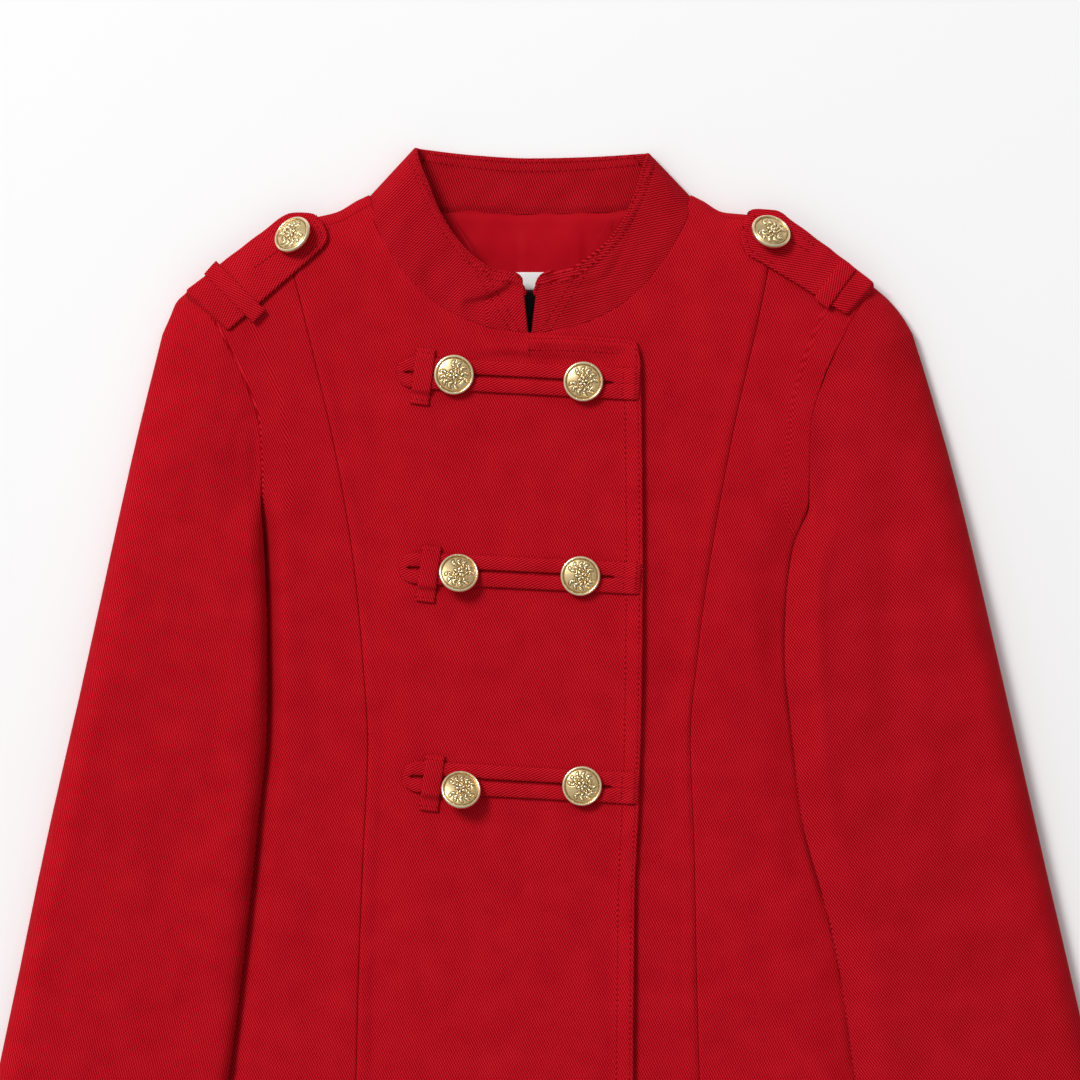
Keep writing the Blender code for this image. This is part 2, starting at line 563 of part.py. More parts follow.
def front_centre(side):
    """The right centre front laps over the left one, which runs on below it to a hidden edge."""
    edge, flap = (FRONT_EDGE, FLAP_TOP) if side < 0 else (HIDDEN_EDGE, HIDDEN_TOP)
    seam = shoulder_points(side, SHOULDER_SEAM[side])[LAST_SEAM:]
    inner = at_downs(edge, stretched(BODY_DOWNS, edge[0][1], HEM))
    top = np.vstack([seam, neck_points(side), flipped(flap), inner[:1]])
    hem_shares = [0, 0.04, 0.10, 0.16, 0.21, 0.26, 0.32, 0.39, 0.47, 0.55, 0.64, 0.72, 0.80, 0.88, 0.95, 1.0]
    shares = np.interp(np.linspace(0, 1, len(top)), np.linspace(0, 1, 16), hem_shares)
    plan = net(princess_points(side), inner, shares, top=top, fade=4)
    points, outward = laid(plan, lapped_height if side < 0 else front_height)
    draw_in(points, np.s_[:, 0], np.s_[:, 1], SEAM_GAP / 2)
    draw_in(points, np.s_[0, :4], np.s_[1, :4], SEAM_GAP / 2)
    wall(f"front_centre_{SIDE_NAMES[side]}", [(points, outward)])


def shoulder_wrap(side):
    """The back's cloth from its flat part round the shoulder's fold to the seam on top."""
    rows, ways = [], []
    for angle in (90, 55, 25, 8):
        turn = math.radians(angle)
        plan = shoulder_points(side, FOLD_Z * (1 - math.cos(turn)))
        way = shoulder_points(side, 0.0) - shoulder_points(side, 0.001)
        way /= np.linalg.norm(way, axis=1, keepdims=True)
        rows.append(np.column_stack([plan, np.full(len(plan), FOLD_Z * (1 - math.sin(turn)))]))
        ways.append(np.column_stack([way * math.cos(turn), np.full(len(plan), -math.sin(turn))]))
    rows.append(np.column_stack([shoulder_points(side, 0.0), np.full(len(plan), FOLD_Z + 0.0010)]))
    ways.append(np.column_stack([way, np.zeros(len(plan))]))
    for share in (0.35, 1.0):
        plan = shoulder_points(side, share * SHOULDER_SEAM[side])
        points, outward = laid(plan[None], lambda x, y: front_on_side(side, x, y))
        rows.append(points[0])
        ways.append(outward[0])
    rows = np.array(rows)
    draw_in(rows, np.s_[-1], np.s_[-2], SEAM_GAP / 2)
    draw_in(rows, np.s_[:, 0], np.s_[:, 1], SEAM_GAP / 2)
    return rows[::-1], np.array(ways)[::-1]


def back():
    wraps = {side: shoulder_wrap(side) for side in (-1, 1)}
    seam = np.array([row[:2] for row in COLLAR[-1][-4:] + COLLAR[1][-2:-5:-1]]) - [0, SEAM_GAP]
    top = np.vstack([wraps[-1][0][-1, :, :2], seam, wraps[1][0][-1, ::-1, :2]])
    sides = {}
    for side in (-1, 1):
        sides[side] = np.vstack([back_armhole(side, ARMHOLE_ROWS), at_downs(mirrored(SIDE, side), SIDE_ROWS)])
        sides[side][0] = top[0] if side < 0 else top[-1]
    shares = shares_of(top)
    plan = net(sides[-1], sides[1], shares, top=top, fade=3)
    points, outward = laid(plan, back_height, facing=-1)
    folded = len(ARMHOLE_ROWS)
    for edge, beside in ((0, 1), (-1, -2)):
        turning = ease((-points[folded:, edge, 1] - UNDERARM + 0.008) / 0.025)
        level_at(points, outward, np.s_[folded:, edge], np.s_[folded:, beside], weight=turning)
        points[folded:, edge, 2] -= SEAM_GAP * turning
        draw_in(points, np.s_[1:folded, edge], np.s_[1:folded, beside], SEAM_GAP / 2)
    width = len(SEAM_SHARES) + len(NECK_SHARES) - 1
    points[0, :width], points[0, -width:] = wraps[-1][0][-1], wraps[1][0][-1, ::-1]
    wall("back", [(points, outward), wraps[-1], wraps[1]])


# Sleeves ---------------------------------------------------------------------------------------------------
TOP_ACROSS = [0.0, 0.004, 0.030, 0.080, 0.17, 0.35, 0.60, 0.82, 0.93, 0.985, 1.0]
CUT_ACROSS = [0.0, 0.005, 0.020, 0.060, 0.20, 0.35, 0.50, 0.65, 0.80, 0.92, 1.0]


def cuff_row(side):
    return INNER_FOLD[side][-1][1]


def sleeve_top(side):
    inner = np.vstack([at_downs(ARMHOLE[side], ARMHOLE_ROWS[:SEEN_ROWS]),
                       at_downs(INNER_FOLD[side], [0.190] + SLEEVE_ROWS + [cuff_row(side)])])
    start, end = OUTER_FOLD[side][0][1], OUTER_FOLD[side][-1][1]
    outer = at_downs(OUTER_FOLD[side], start + shares_of(inner) * (end - start))
    corner = spline(flipped(CORNER[side][::-1]), TOP_ACROSS)
    plan = net(outer, inner, np.array(TOP_ACROSS), top=corner)
    points, outward = laid(plan, lambda x, y: sleeve_top_height(side, x, y))
    level_at_silhouette(side, points, outward)
    level_at(points, outward, np.s_[:, -1], np.s_[:, -2], weight=fold_start(-points[:, -1, 1]))
    draw_in(points, np.s_[:SEEN_ROWS, -1], np.s_[:SEEN_ROWS, -2], SEAM_GAP / 2)
    wall(f"sleeve_top_{SIDE_NAMES[side]}", [(points, outward)])


def sleeve_under(side):
    """It is cut off along the back's armhole, and lies on the body's side below that."""
    armhole = back_armhole(side, ARMHOLE_ROWS[:9])
    turn = np.array([(0.1830 * side, -0.2085), (0.1670 * side, -0.2145), (0.1530 * side, -0.2190)])
    fold = at_downs(INNER_FOLD[side], SLEEVE_ROWS + [cuff_row(side)])
    inner = np.vstack([armhole, turn, fold])
    start, end = OUTER_FOLD[side][0][1], OUTER_FOLD[side][-1][1]
    shares = (inner[:, 1] - inner[0, 1]) / (inner[-1, 1] - inner[0, 1])
    shares[len(armhole) - 1: len(armhole) + 4] = np.linspace(0.262, 0.315, 5)
    outer = at_downs(OUTER_FOLD[side], start + shares * (end - start))
    across = np.tile(CUT_ACROSS, (len(inner), 1))
    for row in range(len(armhole), len(inner)):
        x0, x1 = abs(outer[row, 0]), abs(inner[row, 0])
        edge = float(side_x(np.clip(-inner[row, 1], UNDERARM, HEM)))
        spots = np.array([x0, x0 - 0.0005, x0 - 0.002, x0 - 0.006, edge + 0.019, edge + 0.012,
                          edge + 0.005, max(edge - 0.010, x1 + 0.009), x1 + 0.0055, x1 + 0.0012, x1])
        across[row] = np.minimum((x0 - spots) / (x0 - x1), [0.1, 0.2, 0.3, 0.4, 0.6, 0.75, 0.9, 0.93, 0.96, 0.99, 1])
    corner = spline(flipped(CORNER[side][::-1]), CUT_ACROSS)
    plan = net(outer, inner, across, top=corner)
    points, outward = laid(plan, lambda x, y: sleeve_under_height(side, x, y), facing=-1)
    folded = len(armhole) + len(turn)
    level_at_silhouette(side, points, outward)
    level_at(points, outward, np.s_[folded:, -1], np.s_[folded:, -2])
    points[:, 0, 2] -= SEAM_GAP
    points[0, :, 2] -= SEAM_GAP
    points[folded:, -1, 2] -= SEAM_GAP
    draw_in(points, np.s_[:len(armhole), -1], np.s_[:len(armhole), -2], SEAM_GAP)
    wall(f"sleeve_under_{SIDE_NAMES[side]}", [(points, outward)])


# Collar, lining and labels ---------------------------------------------------------------------------------
COLLAR_CLOTH = 0.0020
FLAT_FROM, FLAT_TO = 11, 16  # the collar's sections that lie flat at the back


def collar_net():
    """Rows from the top edge to the seam, columns once round the neck from the right front."""
    ends = []
    for side in (-1, 1):
        height = lapped_height if side < 0 else front_height
        ends.append([(x, y, float(height(np.array(x), np.array(y))) if z is None else z, *edge)
                     for x, y, z, *edge in COLLAR[side]])
    rows = np.array(ends[0] + ends[1][-2::-1])
    seam, edge = rows[:, :3], rows[:, 3:]
    way = edge - seam
    way /= np.linalg.norm(way, axis=1, keepdims=True)
    seam = seam + way * (SEAM_GAP + 0.0002)
    return np.array([edge, edge * 0.5 + seam * 0.5, seam])


def collar():
    points = collar_net()
    outward = -face_normals(points)
    wall("collar", [(points, outward)], thickness=COLLAR_CLOTH)
    inner = points[:, FLAT_FROM:FLAT_TO, :2]
    inner = np.stack([inner[0] * 0.97 + inner[2] * 0.03, inner[1], inner[2]])
    strip("collar_facing", inner, np.full(inner.shape[:2], COLLAR_CLOTH + SEAM_GAP), THIN)


def lining_and_labels():
    seam = collar_net()[2, FLAT_FROM:FLAT_TO, :2] - [0, 2 * SEAM_GAP]
    x = np.array([-LINING_HALF, -0.0450, 0.0, 0.0450, LINING_HALF])
    top = np.column_stack([x, np.interp(x, seam[:, 0], seam[:, 1])])
    bottom = np.column_stack([x, np.full(5, -LINING_BOTTOM)])
    plan = np.stack([top, top * 0.5 + bottom * 0.5, bottom])
    strip("back_lining", plan, np.full(plan.shape[:2], CLOTH + SEAM_GAP), THIN, "lining")
    for name, (half, top, bottom), finish in (("neck_label_upper", UPPER_LABEL, "white_label"),
                                              ("neck_label_lower", LOWER_LABEL, "black_label")):
        plan = np.array([[(-half, -top), (0, -top), (half, -top)], [(-half, -bottom), (0, -bottom), (half, -bottom)]])
        strip(name, plan, np.full((2, 3), CLOTH + THIN + 2 * SEAM_GAP), THIN, finish)


# Fastenings ------------------------------------------------------------------------------------------------
def along(start, end):
    """(length, way, across) of an axis between two plan points, the way across being to its left."""
    step = np.subtract(end, start)
    length = np.linalg.norm(step)
    way = step / length
    return length, way, np.array([-way[1], way[0]])


def button(name, centre, base, up, shank):
    """A domed button with a rim. Its base is a point above the cloth, and `up` is its axis."""
    profile = [(SHANK_RADIUS, -shank), (SHANK_RADIUS, 0.0), (0.0098, 0.0003), (BUTTON_RADIUS, 0.0012),
               (BUTTON_RADIUS, 0.0020), (0.0100, 0.0022), (0.0082, 0.0033), (0.0045, 0.0042)]
    up = Vector(up).normalized()
    turn = Vector((0, 0, 1)).rotation_difference(up)
    middle = Vector((*centre, base))
    points = [middle + turn @ Vector((0, 0, -shank)), middle + turn @ Vector((0, 0, 0.0046))]
    for radius, z in profile:
        for step in range(BUTTON_STEPS):
            angle = 2 * math.pi * step / BUTTON_STEPS
            points.append(middle + turn @ Vector((radius * math.cos(angle), radius * math.sin(angle), z)))
    faces = []
    for step in range(BUTTON_STEPS):
        beside = (step + 1) % BUTTON_STEPS
        ring = [2 + step + row * BUTTON_STEPS for row in range(len(profile))]
        next_ring = [2 + beside + row * BUTTON_STEPS for row in range(len(profile))]
        faces.append((0, next_ring[0], ring[0]))
        faces.append((1, ring[-1], next_ring[-1]))
        faces += [(a, b, d, c) for a, b, c, d in zip(ring, next_ring, ring[1:], next_ring[1:])]
    mesh = bpy.data.meshes.new(name)
    mesh.from_pydata([tuple(p) for p in points], [], faces)
    return new_object(name, mesh, "gold")


def button_loop(row, numbers):
    """Two strands of folded cloth side by side, joined at a pointed tip and at the front edge."""
    tip, end, keeper, inner_button, outer_button = (np.array([numbers[i], -numbers[i + 1]]) for i in range(0, 10, 2))
    length, way, across = along(tip, end)
    buttons = [float((spot - tip) @ way) for spot in (inner_button, outer_button)]
    spots = [0.0, 0.004, 0.010, 0.022]
    for spot in buttons:
        spots += [spot - 0.009, spot - 0.0035, spot + 0.0035, spot + 0.009]
    spots += [(buttons[0] + buttons[1]) / 2, length - 0.004, length]
    spots = sorted(spots)
    half = np.interp(spots, [0.0, 0.009, length], [0.0004, LOOP_HALF, LOOP_HALF])
    slit = np.array([SLIT_AT_BUTTON if min(abs(s - b) for b in buttons) < 0.005 else SLIT_HALF for s in spots])
    slit[[0, 1, -2, -1]] = 0
    slit[1] = 0
    base = tip + np.array(spots)[:, None] * way
    rows = [base + across * w[:, None] for w in (half, slit, -slit, -half)]
    nets = []
    for plan in (np.array(rows[:2]), np.array(rows[2:])):
        points = np.concatenate([plan, on_front(plan)[..., None]], axis=-1) + UP * (LAY_GAP + LOOP_CLOTH)
        nets.append((points, np.broadcast_to(UP, points.shape)))
    wall(f"button_loop_{row}", nets, LOOP_CLOTH)
    for place, spot in (("inner", buttons[0]), ("outer", buttons[1])):
        lean = math.radians(LEANS.get((place, row), 0.0))
        centre = (inner_button if place == "inner" else outer_button) if lean else tip + spot * way
        low = float(on_front(centre)) + LAY_GAP + LOOP_CLOTH
        clear = BUTTON_CLEAR + LEAN_LIFT * BUTTON_RADIUS * math.sin(lean)
        shank = clear * 0.6 if lean else clear + LOOP_CLOTH * 0.6
        button(f"button_{place}_{row}", centre, low + clear, (0, math.sin(lean), math.cos(lean)), shank)
    side_way = np.array([KEEPER_SLANT / KEEPER_LENGTH, 1.0])
    side_way /= np.linalg.norm(side_way)
    middle = float((tip - keeper) @ across) / float(side_way @ across)  # where it crosses the loop
    flat, foot = LOOP_HALF + 0.0014, LOOP_HALF + 0.0036
    spots = np.array([KEEPER_LENGTH / 2, middle + foot, middle + flat, middle, middle - flat, middle - foot,
                      -KEEPER_LENGTH / 2])
    cross = np.array([side_way[1], -side_way[0]]) * KEEPER_HALF
    line = keeper + spots[:, None] * side_way
    plan = np.stack([line - cross, line + cross], axis=1)
    lift = np.array([0, 0, 1, 1, 1, 0, 0])[:, None] * (LOOP_CLOTH + LAY_GAP)
    strip(f"loop_keeper_{row}", plan, on_front(plan) + LAY_GAP + lift, KEEPER_CLOTH)


def epaulette(side):
    numbers = EPAULETTES[side]
    spot = np.array(flipped([numbers["button"]])[0])
    stations = [0.0, 0.25, 0.50, 0.75, 1.0, 2.0, 2.5, 3.0]  # corners of the two edges, and between them
    edges = [np.column_stack([np.interp(stations, range(4), column) for column in np.transpose(flipped(numbers[name]))])
             for name in ("back", "front")]
    plan = net(edges[0], edges[1], np.linspace(0, 1, 6))
    points, outward = laid(plan, lambda x, y: epaulette_height(side, x, y))
    name = f"epaulette_{SIDE_NAMES[side]}"
    wall(name, [(points + EPAULETTE_CLOTH * outward, outward)], EPAULETTE_CLOTH)
    cloth_up = Vector(laid(spot[None, None], lambda x, y: epaulette_height(side, x, y))[1][0, 0])
    lean = math.radians(SHOULDER_LEAN)
    slope = math.acos(cloth_up.z) + lean
    level = Vector((cloth_up.x, cloth_up.y, 0)).normalized()
    up = level * math.sin(slope) + Vector(UP) * math.cos(slope)
    clear = BUTTON_CLEAR + LEAN_LIFT * BUTTON_RADIUS * math.sin(lean)
    base = above([name], *spot) + clear / cloth_up.z
    button(f"button_epaulette_{SIDE_NAMES[side]}", spot, base, up, clear * 0.7)
    keeper(side, name)


def keeper(side, name):
    """The band over the epaulette's outer end."""
    start, end = (np.array(p) for p in flipped(EPAULETTES[side]["keeper"]))
    length, way, across = along(start, end)
    plan = np.array([[start + way * length * s - across * EPAULETTE_KEEPER_HALF,
                      start + way * length * s + across * EPAULETTE_KEEPER_HALF]
                     for s in (0.0, 0.12, 0.25, 0.40, 0.55, 0.70, 0.85, 1.0)])
    points, outward = laid(plan, lambda x, y: epaulette_height(side, x, y))
    points = points + (EPAULETTE_CLOTH + LAY_GAP + 0.0002 + KEEPER_CLOTH) * outward
    wall(f"epaulette_keeper_{SIDE_NAMES[side]}", [(points, outward)], KEEPER_CLOTH)


def main():
    clear_scene()
    back()
    for side in (-1, 1):
        front_side(side)
        front_centre(side)
        sleeve_top(side)
        sleeve_under(side)
    collar()
    lining_and_labels()
    for row, numbers in enumerate(LOOPS, 1):
        button_loop(row, numbers)
    for side in (-1, 1):
        epaulette(side)


main()
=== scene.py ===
"""The looks of a red military-style blazer that lies face up, with its sleeves beside it.

Metres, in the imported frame: +Z up from the surface that it lies on, +Y towards the collar, the wearer's
right side at -X. Each panel is a thin shell on its solid's form: the same seam lines and heights, in
finer nets, with the seams' relief and the creases added. Garment coordinates start at the neck points,
and "down" is the distance below them. PLACE takes them to the frame.
"""

import math

import bpy
import numpy as np
from mathutils import Matrix, Vector
from mathutils.bvhtree import BVHTree


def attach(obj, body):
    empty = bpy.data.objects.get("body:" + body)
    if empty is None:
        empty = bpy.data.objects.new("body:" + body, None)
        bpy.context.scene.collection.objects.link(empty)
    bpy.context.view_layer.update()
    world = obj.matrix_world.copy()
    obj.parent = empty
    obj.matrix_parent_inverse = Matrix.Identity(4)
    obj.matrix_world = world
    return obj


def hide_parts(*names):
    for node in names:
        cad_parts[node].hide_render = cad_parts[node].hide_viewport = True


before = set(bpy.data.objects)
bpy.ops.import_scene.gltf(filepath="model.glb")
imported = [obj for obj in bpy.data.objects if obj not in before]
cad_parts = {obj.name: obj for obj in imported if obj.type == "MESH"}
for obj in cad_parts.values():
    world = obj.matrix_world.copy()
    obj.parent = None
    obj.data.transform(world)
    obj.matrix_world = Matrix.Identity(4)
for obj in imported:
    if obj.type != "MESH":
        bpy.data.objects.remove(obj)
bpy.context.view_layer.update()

# Sizes that the solids have too, apart from the epaulettes' keepers, which are wider here
CLOTH = 0.0016  # twill with its interfacing
THIN = 0.0010  # lining, labels and the collar's inner face
COLLAR_CLOTH = 0.0020
LOOP_CLOTH = 0.0018
KEEPER_CLOTH = 0.0014
EPAULETTE_CLOTH = 0.0020
SEAM_GAP = 0.00045
LAY_GAP = 0.0005  # between one layer and the next one on it
HEM = 0.600  # down
UNDERARM = 0.215  # down
LAP = CLOTH + LAY_GAP  # the right front's rise over the left one
LAP_START, LAP_RISE = -0.088, 0.024  # x where the rise starts, and its width
SHOULDER_SEAM = {-1: 0.0060, 1: 0.0025}  # from the outline to the seam on top
LOOP_HALF = 0.0090  # half the width of a button loop's two strands
SLIT_HALF = 0.0004
SLIT_AT_BUTTON = 0.0021
EPAULETTE_REACH = 0.0065  # how far it stands past the shoulder's outline
FOLD_Z = 0.0050  # middle of a sleeve's or shoulder's fold
SIDE_Z = 0.0035  # middle of the body's side fold
SIDE_LOFT = 0.0070  # top of the body where a sleeve lies on it
SIDE_ROUND = 0.0060
TUCK_START, TUCK_LENGTH = 0.145, 0.050  # down, where the sleeves start to cover the body
CLIMB_START, CLIMB_LENGTH = 0.184, 0.012  # down, where a sleeve's underside starts to lie on the body
SLEEVE_REST = 0.0008  # clear of the body below it
SLEEVE_EDGE = 0.0045  # from the underside to the middle of the inner fold
INNER_ROUND = 0.0090
STEP_WIDTH, STEP_CLEAR = 0.018, 0.005  # where its underside starts and ends its climb, beside the body

# How the cloth lies here, a little differently from the solids. -1 is the right side, 1 the left one
TUCK_WIDTH = {-1: 0.014, 1: 0.024}  # over which the body sinks beside each sleeve
TUCK_OUT = 0.0035  # how far that goes on under the sleeve's round edge
TUCK_SHARE = {-1: 1.0, 1: 0.42}  # how much of it comes before the sleeve's edge
TUCK_REST = 0.0048  # over which the rest of it comes
LEVEL_RISE, LEVEL_ROLL, LEVEL_SHARE = 0.0028, 0.020, 0.88  # the left sleeve's inner edge, level with the body
SLEEVE_FILLS = 0.030  # from its seam to where a sleeve has its own height
FLAP_LIFT = 0.0024  # how far the lapped front's edge stands off
VISIBLE_GAP = 0.00010  # what a seam's two panels leave between them
TURN_IN = 0.0022  # what a piece runs on under its neighbour at the neck

# Form of the cloth and its seam lines, in the same tables as the solids. Columns: down, height
LOFT = [(-0.03, 0.0200), (0.05, 0.0222), (0.10, 0.0218), (0.16, 0.0200), (0.22, 0.0188),
        (0.30, 0.0162), (0.40, 0.0135), (0.50, 0.0116), (0.61, 0.0100)]
SLEEVE_LOFT = [(0.04, 0.0225), (0.15, 0.0240), (0.25, 0.0245), (0.35, 0.0225), (0.45, 0.0200),
               (0.55, 0.0178), (0.65, 0.0160)]
# Columns: down, width of the round outer edge
ROUNDING = [(0.00, 0.036), (0.09, 0.034), (0.16, 0.020), (0.25, 0.015), (0.65, 0.012)]
# Columns: x, down
SHOULDER = {
    -1: [(-0.0885, -0.0030), (-0.0935, -0.0011), (-0.1060, 0.0066), (-0.1180, 0.0095), (-0.1310, 0.0120),
         (-0.1425, 0.0190), (-0.1535, 0.0278), (-0.1650, 0.0365), (-0.1804, 0.0429), (-0.1859, 0.0473)],
    1: [(0.0885, -0.0030), (0.0930, -0.0011), (0.1084, 0.0075), (0.1200, 0.0080), (0.1310, 0.0095),
        (0.1420, 0.0150), (0.1535, 0.0240), (0.1640, 0.0325), (0.1826, 0.0429), (0.1887, 0.0473)],
}
CORNER = {
    -1: [(-0.1859, 0.0473), (-0.1903, 0.0517), (-0.1947, 0.0561), (-0.1985, 0.0649), (-0.2024, 0.0737)],
    1: [(0.1887, 0.0473), (0.1940, 0.0517), (0.1986, 0.0561), (0.2050, 0.0640), (0.2107, 0.0737)],
}
OUTER_FOLD = {
    -1: [(-0.2024, 0.0737), (-0.2168, 0.1320), (-0.2486, 0.2750), (-0.2662, 0.3520), (-0.2845, 0.4400),
         (-0.3237, 0.6220)],
    1: [(0.2107, 0.0737), (0.2250, 0.1210), (0.2369, 0.1650), (0.2628, 0.2750), (0.2829, 0.3630),
        (0.2983, 0.4290), (0.3424, 0.6180)],
}
ARMHOLE = {
    -1: [(-0.1859, 0.0473), (-0.1694, 0.0743), (-0.1557, 0.1018), (-0.1490, 0.1200), (-0.1474, 0.1485),
         (-0.1472, 0.1650)],
    1: [(0.1887, 0.0473), (0.1745, 0.0700), (0.1600, 0.1010), (0.1542, 0.1200), (0.1535, 0.1400),
        (0.1530, 0.1650)],
}
INNER_FOLD = {
    -1: [(-0.1472, 0.1650), (-0.1445, 0.2250), (-0.1442, 0.2800), (-0.1490, 0.3400), (-0.1568, 0.4125),
         (-0.1656, 0.4840), (-0.1800, 0.5550), (-0.2050, 0.6450)],
    1: [(0.1530, 0.1650), (0.1420, 0.2020), (0.1395, 0.2450), (0.1440, 0.2970), (0.1525, 0.3600),
        (0.1685, 0.4100), (0.1765, 0.4730), (0.1960, 0.5550), (0.2240, 0.6440)],
}
FRONT_ARMHOLE_END = [(0.1480, 0.1650), (0.1520, 0.1820), (0.1660, 0.1990), (0.1880, 0.2110), (0.2050, 0.2150)]
BACK_ARMHOLE = [(0.1740, 0.0900), (0.1710, 0.1350), (0.1800, 0.1850), (0.2050, 0.2150)]
SIDE = [(0.2050, 0.2150), (0.1930, 0.2900), (0.1850, 0.3700), (0.1900, 0.4500), (0.2080, 0.5400), (0.2200, 0.6000)]
PRINCESS = {
    -1: [(-0.1350, 0.0200), (-0.1205, 0.0787), (-0.1060, 0.1430), (-0.0957, 0.2090), (-0.0913, 0.2600),
         (-0.0890, 0.3050), (-0.0930, 0.3850), (-0.0957, 0.4840), (-0.1010, 0.6000)],
    1: [(0.1355, 0.0150), (0.1265, 0.0605), (0.1128, 0.1210), (0.1007, 0.1870), (0.0925, 0.2450),
        (0.0880, 0.3025), (0.0902, 0.3575), (0.0924, 0.4620), (0.0990, 0.6000)],
}
FRONT_EDGE = [(0.0585, 0.0782), (0.0606, 0.0880), (0.0620, 0.1980), (0.0608, 0.3050), (0.0575, 0.3900),
              (0.0560, 0.6000)]
HIDDEN_EDGE = [(-0.0600, 0.0790), (-0.0600, 0.6000)]
FLAP_TOP = [(0.0200, 0.0748), (0.0400, 0.0758), (0.0530, 0.0768)]
HIDDEN_TOP = [(-0.0200, 0.0750), (-0.0400, 0.0770)]
# Columns: x, y and height at the seam (None is on the front), and x, y and height at the top edge
COLLAR = {
    -1: [(-0.0008, -0.0733, None, -0.0038, -0.0464, 0.0215), (-0.0022, -0.0733, None, -0.0052, -0.0420, 0.0215),
         (-0.0070, -0.0730, None, -0.0077, -0.0402, 0.0215), (-0.0200, -0.0710, None, -0.0204, -0.0374, 0.0215),
         (-0.0350, -0.0658, None, -0.0330, -0.0290, 0.0210), (-0.0490, -0.0586, None, -0.0425, -0.0175, 0.0205),
         (-0.0630, -0.0466, None, -0.0505, -0.0035, 0.0195), (-0.0772, -0.0277, None, -0.0565, 0.0110, 0.0180),
         (-0.0862, -0.0100, None, -0.0608, 0.0225, 0.0160), (-0.0885, -0.0035, 0.0125, -0.0624, 0.0275, 0.0125),
         (-0.0895, 0.0008, 0.0068, -0.0630, 0.0294, 0.0068), (-0.0868, -0.0018, 0.0018, -0.0605, 0.0288, 0.0018),
         (-0.0800, -0.0040, 0.0000, -0.0540, 0.0277, 0.0000), (-0.0450, -0.0066, 0.0000, -0.0300, 0.0250, 0.0000),
         (0.0000, -0.0078, 0.0000, 0.0000, 0.0234, 0.0000)],
    1: [(0.0008, -0.0733, None, 0.0036, -0.0464, 0.0205), (0.0022, -0.0733, None, 0.0050, -0.0421, 0.0205),
        (0.0070, -0.0730, None, 0.0077, -0.0402, 0.0205), (0.0200, -0.0710, None, 0.0195, -0.0385, 0.0205),
        (0.0350, -0.0658, None, 0.0325, -0.0312, 0.0205), (0.0490, -0.0586, None, 0.0435, -0.0215, 0.0200),
        (0.0630, -0.0466, None, 0.0520, -0.0090, 0.0190), (0.0772, -0.0277, None, 0.0585, 0.0060, 0.0175),
        (0.0862, -0.0100, None, 0.0625, 0.0190, 0.0155), (0.0885, -0.0035, 0.0125, 0.0642, 0.0240, 0.0125),
        (0.0895, 0.0008, 0.0068, 0.0650, 0.0265, 0.0068), (0.0868, -0.0018, 0.0018, 0.0626, 0.0262, 0.0018),
        (0.0800, -0.0040, 0.0000, 0.0560, 0.0255, 0.0000), (0.0450, -0.0066, 0.0000, 0.0300, 0.0240, 0.0000),
        (0.0000, -0.0078, 0.0000, 0.0000, 0.0234, 0.0000)],
}
# Columns: tip x, tip down, end x, end down, keeper x, keeper down, inner button x, down, outer button x, down
LOOPS = [
    (-0.0735, 0.0948, 0.0595, 0.1018, -0.0587, 0.0974, -0.0416, 0.0957, 0.0292, 0.0996),
    (-0.0720, 0.2020, 0.0600, 0.2082, -0.0556, 0.2057, -0.0390, 0.2052, 0.0275, 0.2085),
    (-0.0706, 0.3165, 0.0590, 0.3235, -0.0537, 0.3204, -0.0378, 0.3242, 0.0284, 0.3239),
]
KEEPER_HALF, KEEPER_LENGTH, KEEPER_SLANT = 0.0053, 0.0320, 0.0040
# Each strap's edges from the seam to the tip, and its keeper's ends, as x and down
EPAULETTES = {
    -1: {"back": [(-0.1905, 0.0518), (-0.1430, 0.0158), (-0.1331, 0.0080), (-0.1178, 0.0084)],
         "front": [(-0.1667, 0.0737), (-0.1180, 0.0310), (-0.1106, 0.0242), (-0.1113, 0.0175)],
         "keeper": [(-0.1750, 0.0390), (-0.1480, 0.0648)]},
    1: {"back": [(0.1907, 0.0478), (0.1525, 0.0190), (0.1355, 0.0064), (0.1205, 0.0060)],
        "front": [(0.1755, 0.0649), (0.1260, 0.0345), (0.1177, 0.0303), (0.1153, 0.0200)],
        "keeper": [(0.1742, 0.0372), (0.1592, 0.0578)]},
}
EPAULETTE_KEEPER_HALF = 0.0049
# x and y of a buttonhole's ends
BUTTONHOLES = {-1: [(-0.1386, -0.0286), (-0.1507, -0.0374)], 1: [(0.1414, -0.0220), (0.1529, -0.0286)]}
# Half a label's width, its top and its bottom
UPPER_LABEL = (0.0220, 0.0395, 0.0495)
LOWER_LABEL = (0.0180, 0.0500, 0.0780)
LINING_HALF, LINING_BOTTOM = 0.0780, 0.1150
# How far down the panels' rows lie
ARMHOLE_ROWS = [0.0473, 0.060, 0.078, 0.100, 0.125, 0.150, 0.168, 0.185, 0.201, 0.211]
SEEN_ROWS = 7  # of them, those where the armhole's seam shows
SIDE_ROWS = [0.215, 0.235, 0.270, 0.315, 0.370, 0.430, 0.490, 0.545, 0.600]
SLEEVE_ROWS = [0.2225, 0.250, 0.290, 0.340, 0.390, 0.440, 0.490, 0.540, 0.590, 0.618]
SIDE_NAMES = {-1: "right", 1: "left"}

PLACE = Vector((-(OUTER_FOLD[-1][-1][0] + OUTER_FOLD[1][-1][0]) / 2,
                (INNER_FOLD[-1][-1][1] - max(row[4] for row in COLLAR[-1])) / 2, 0.0))

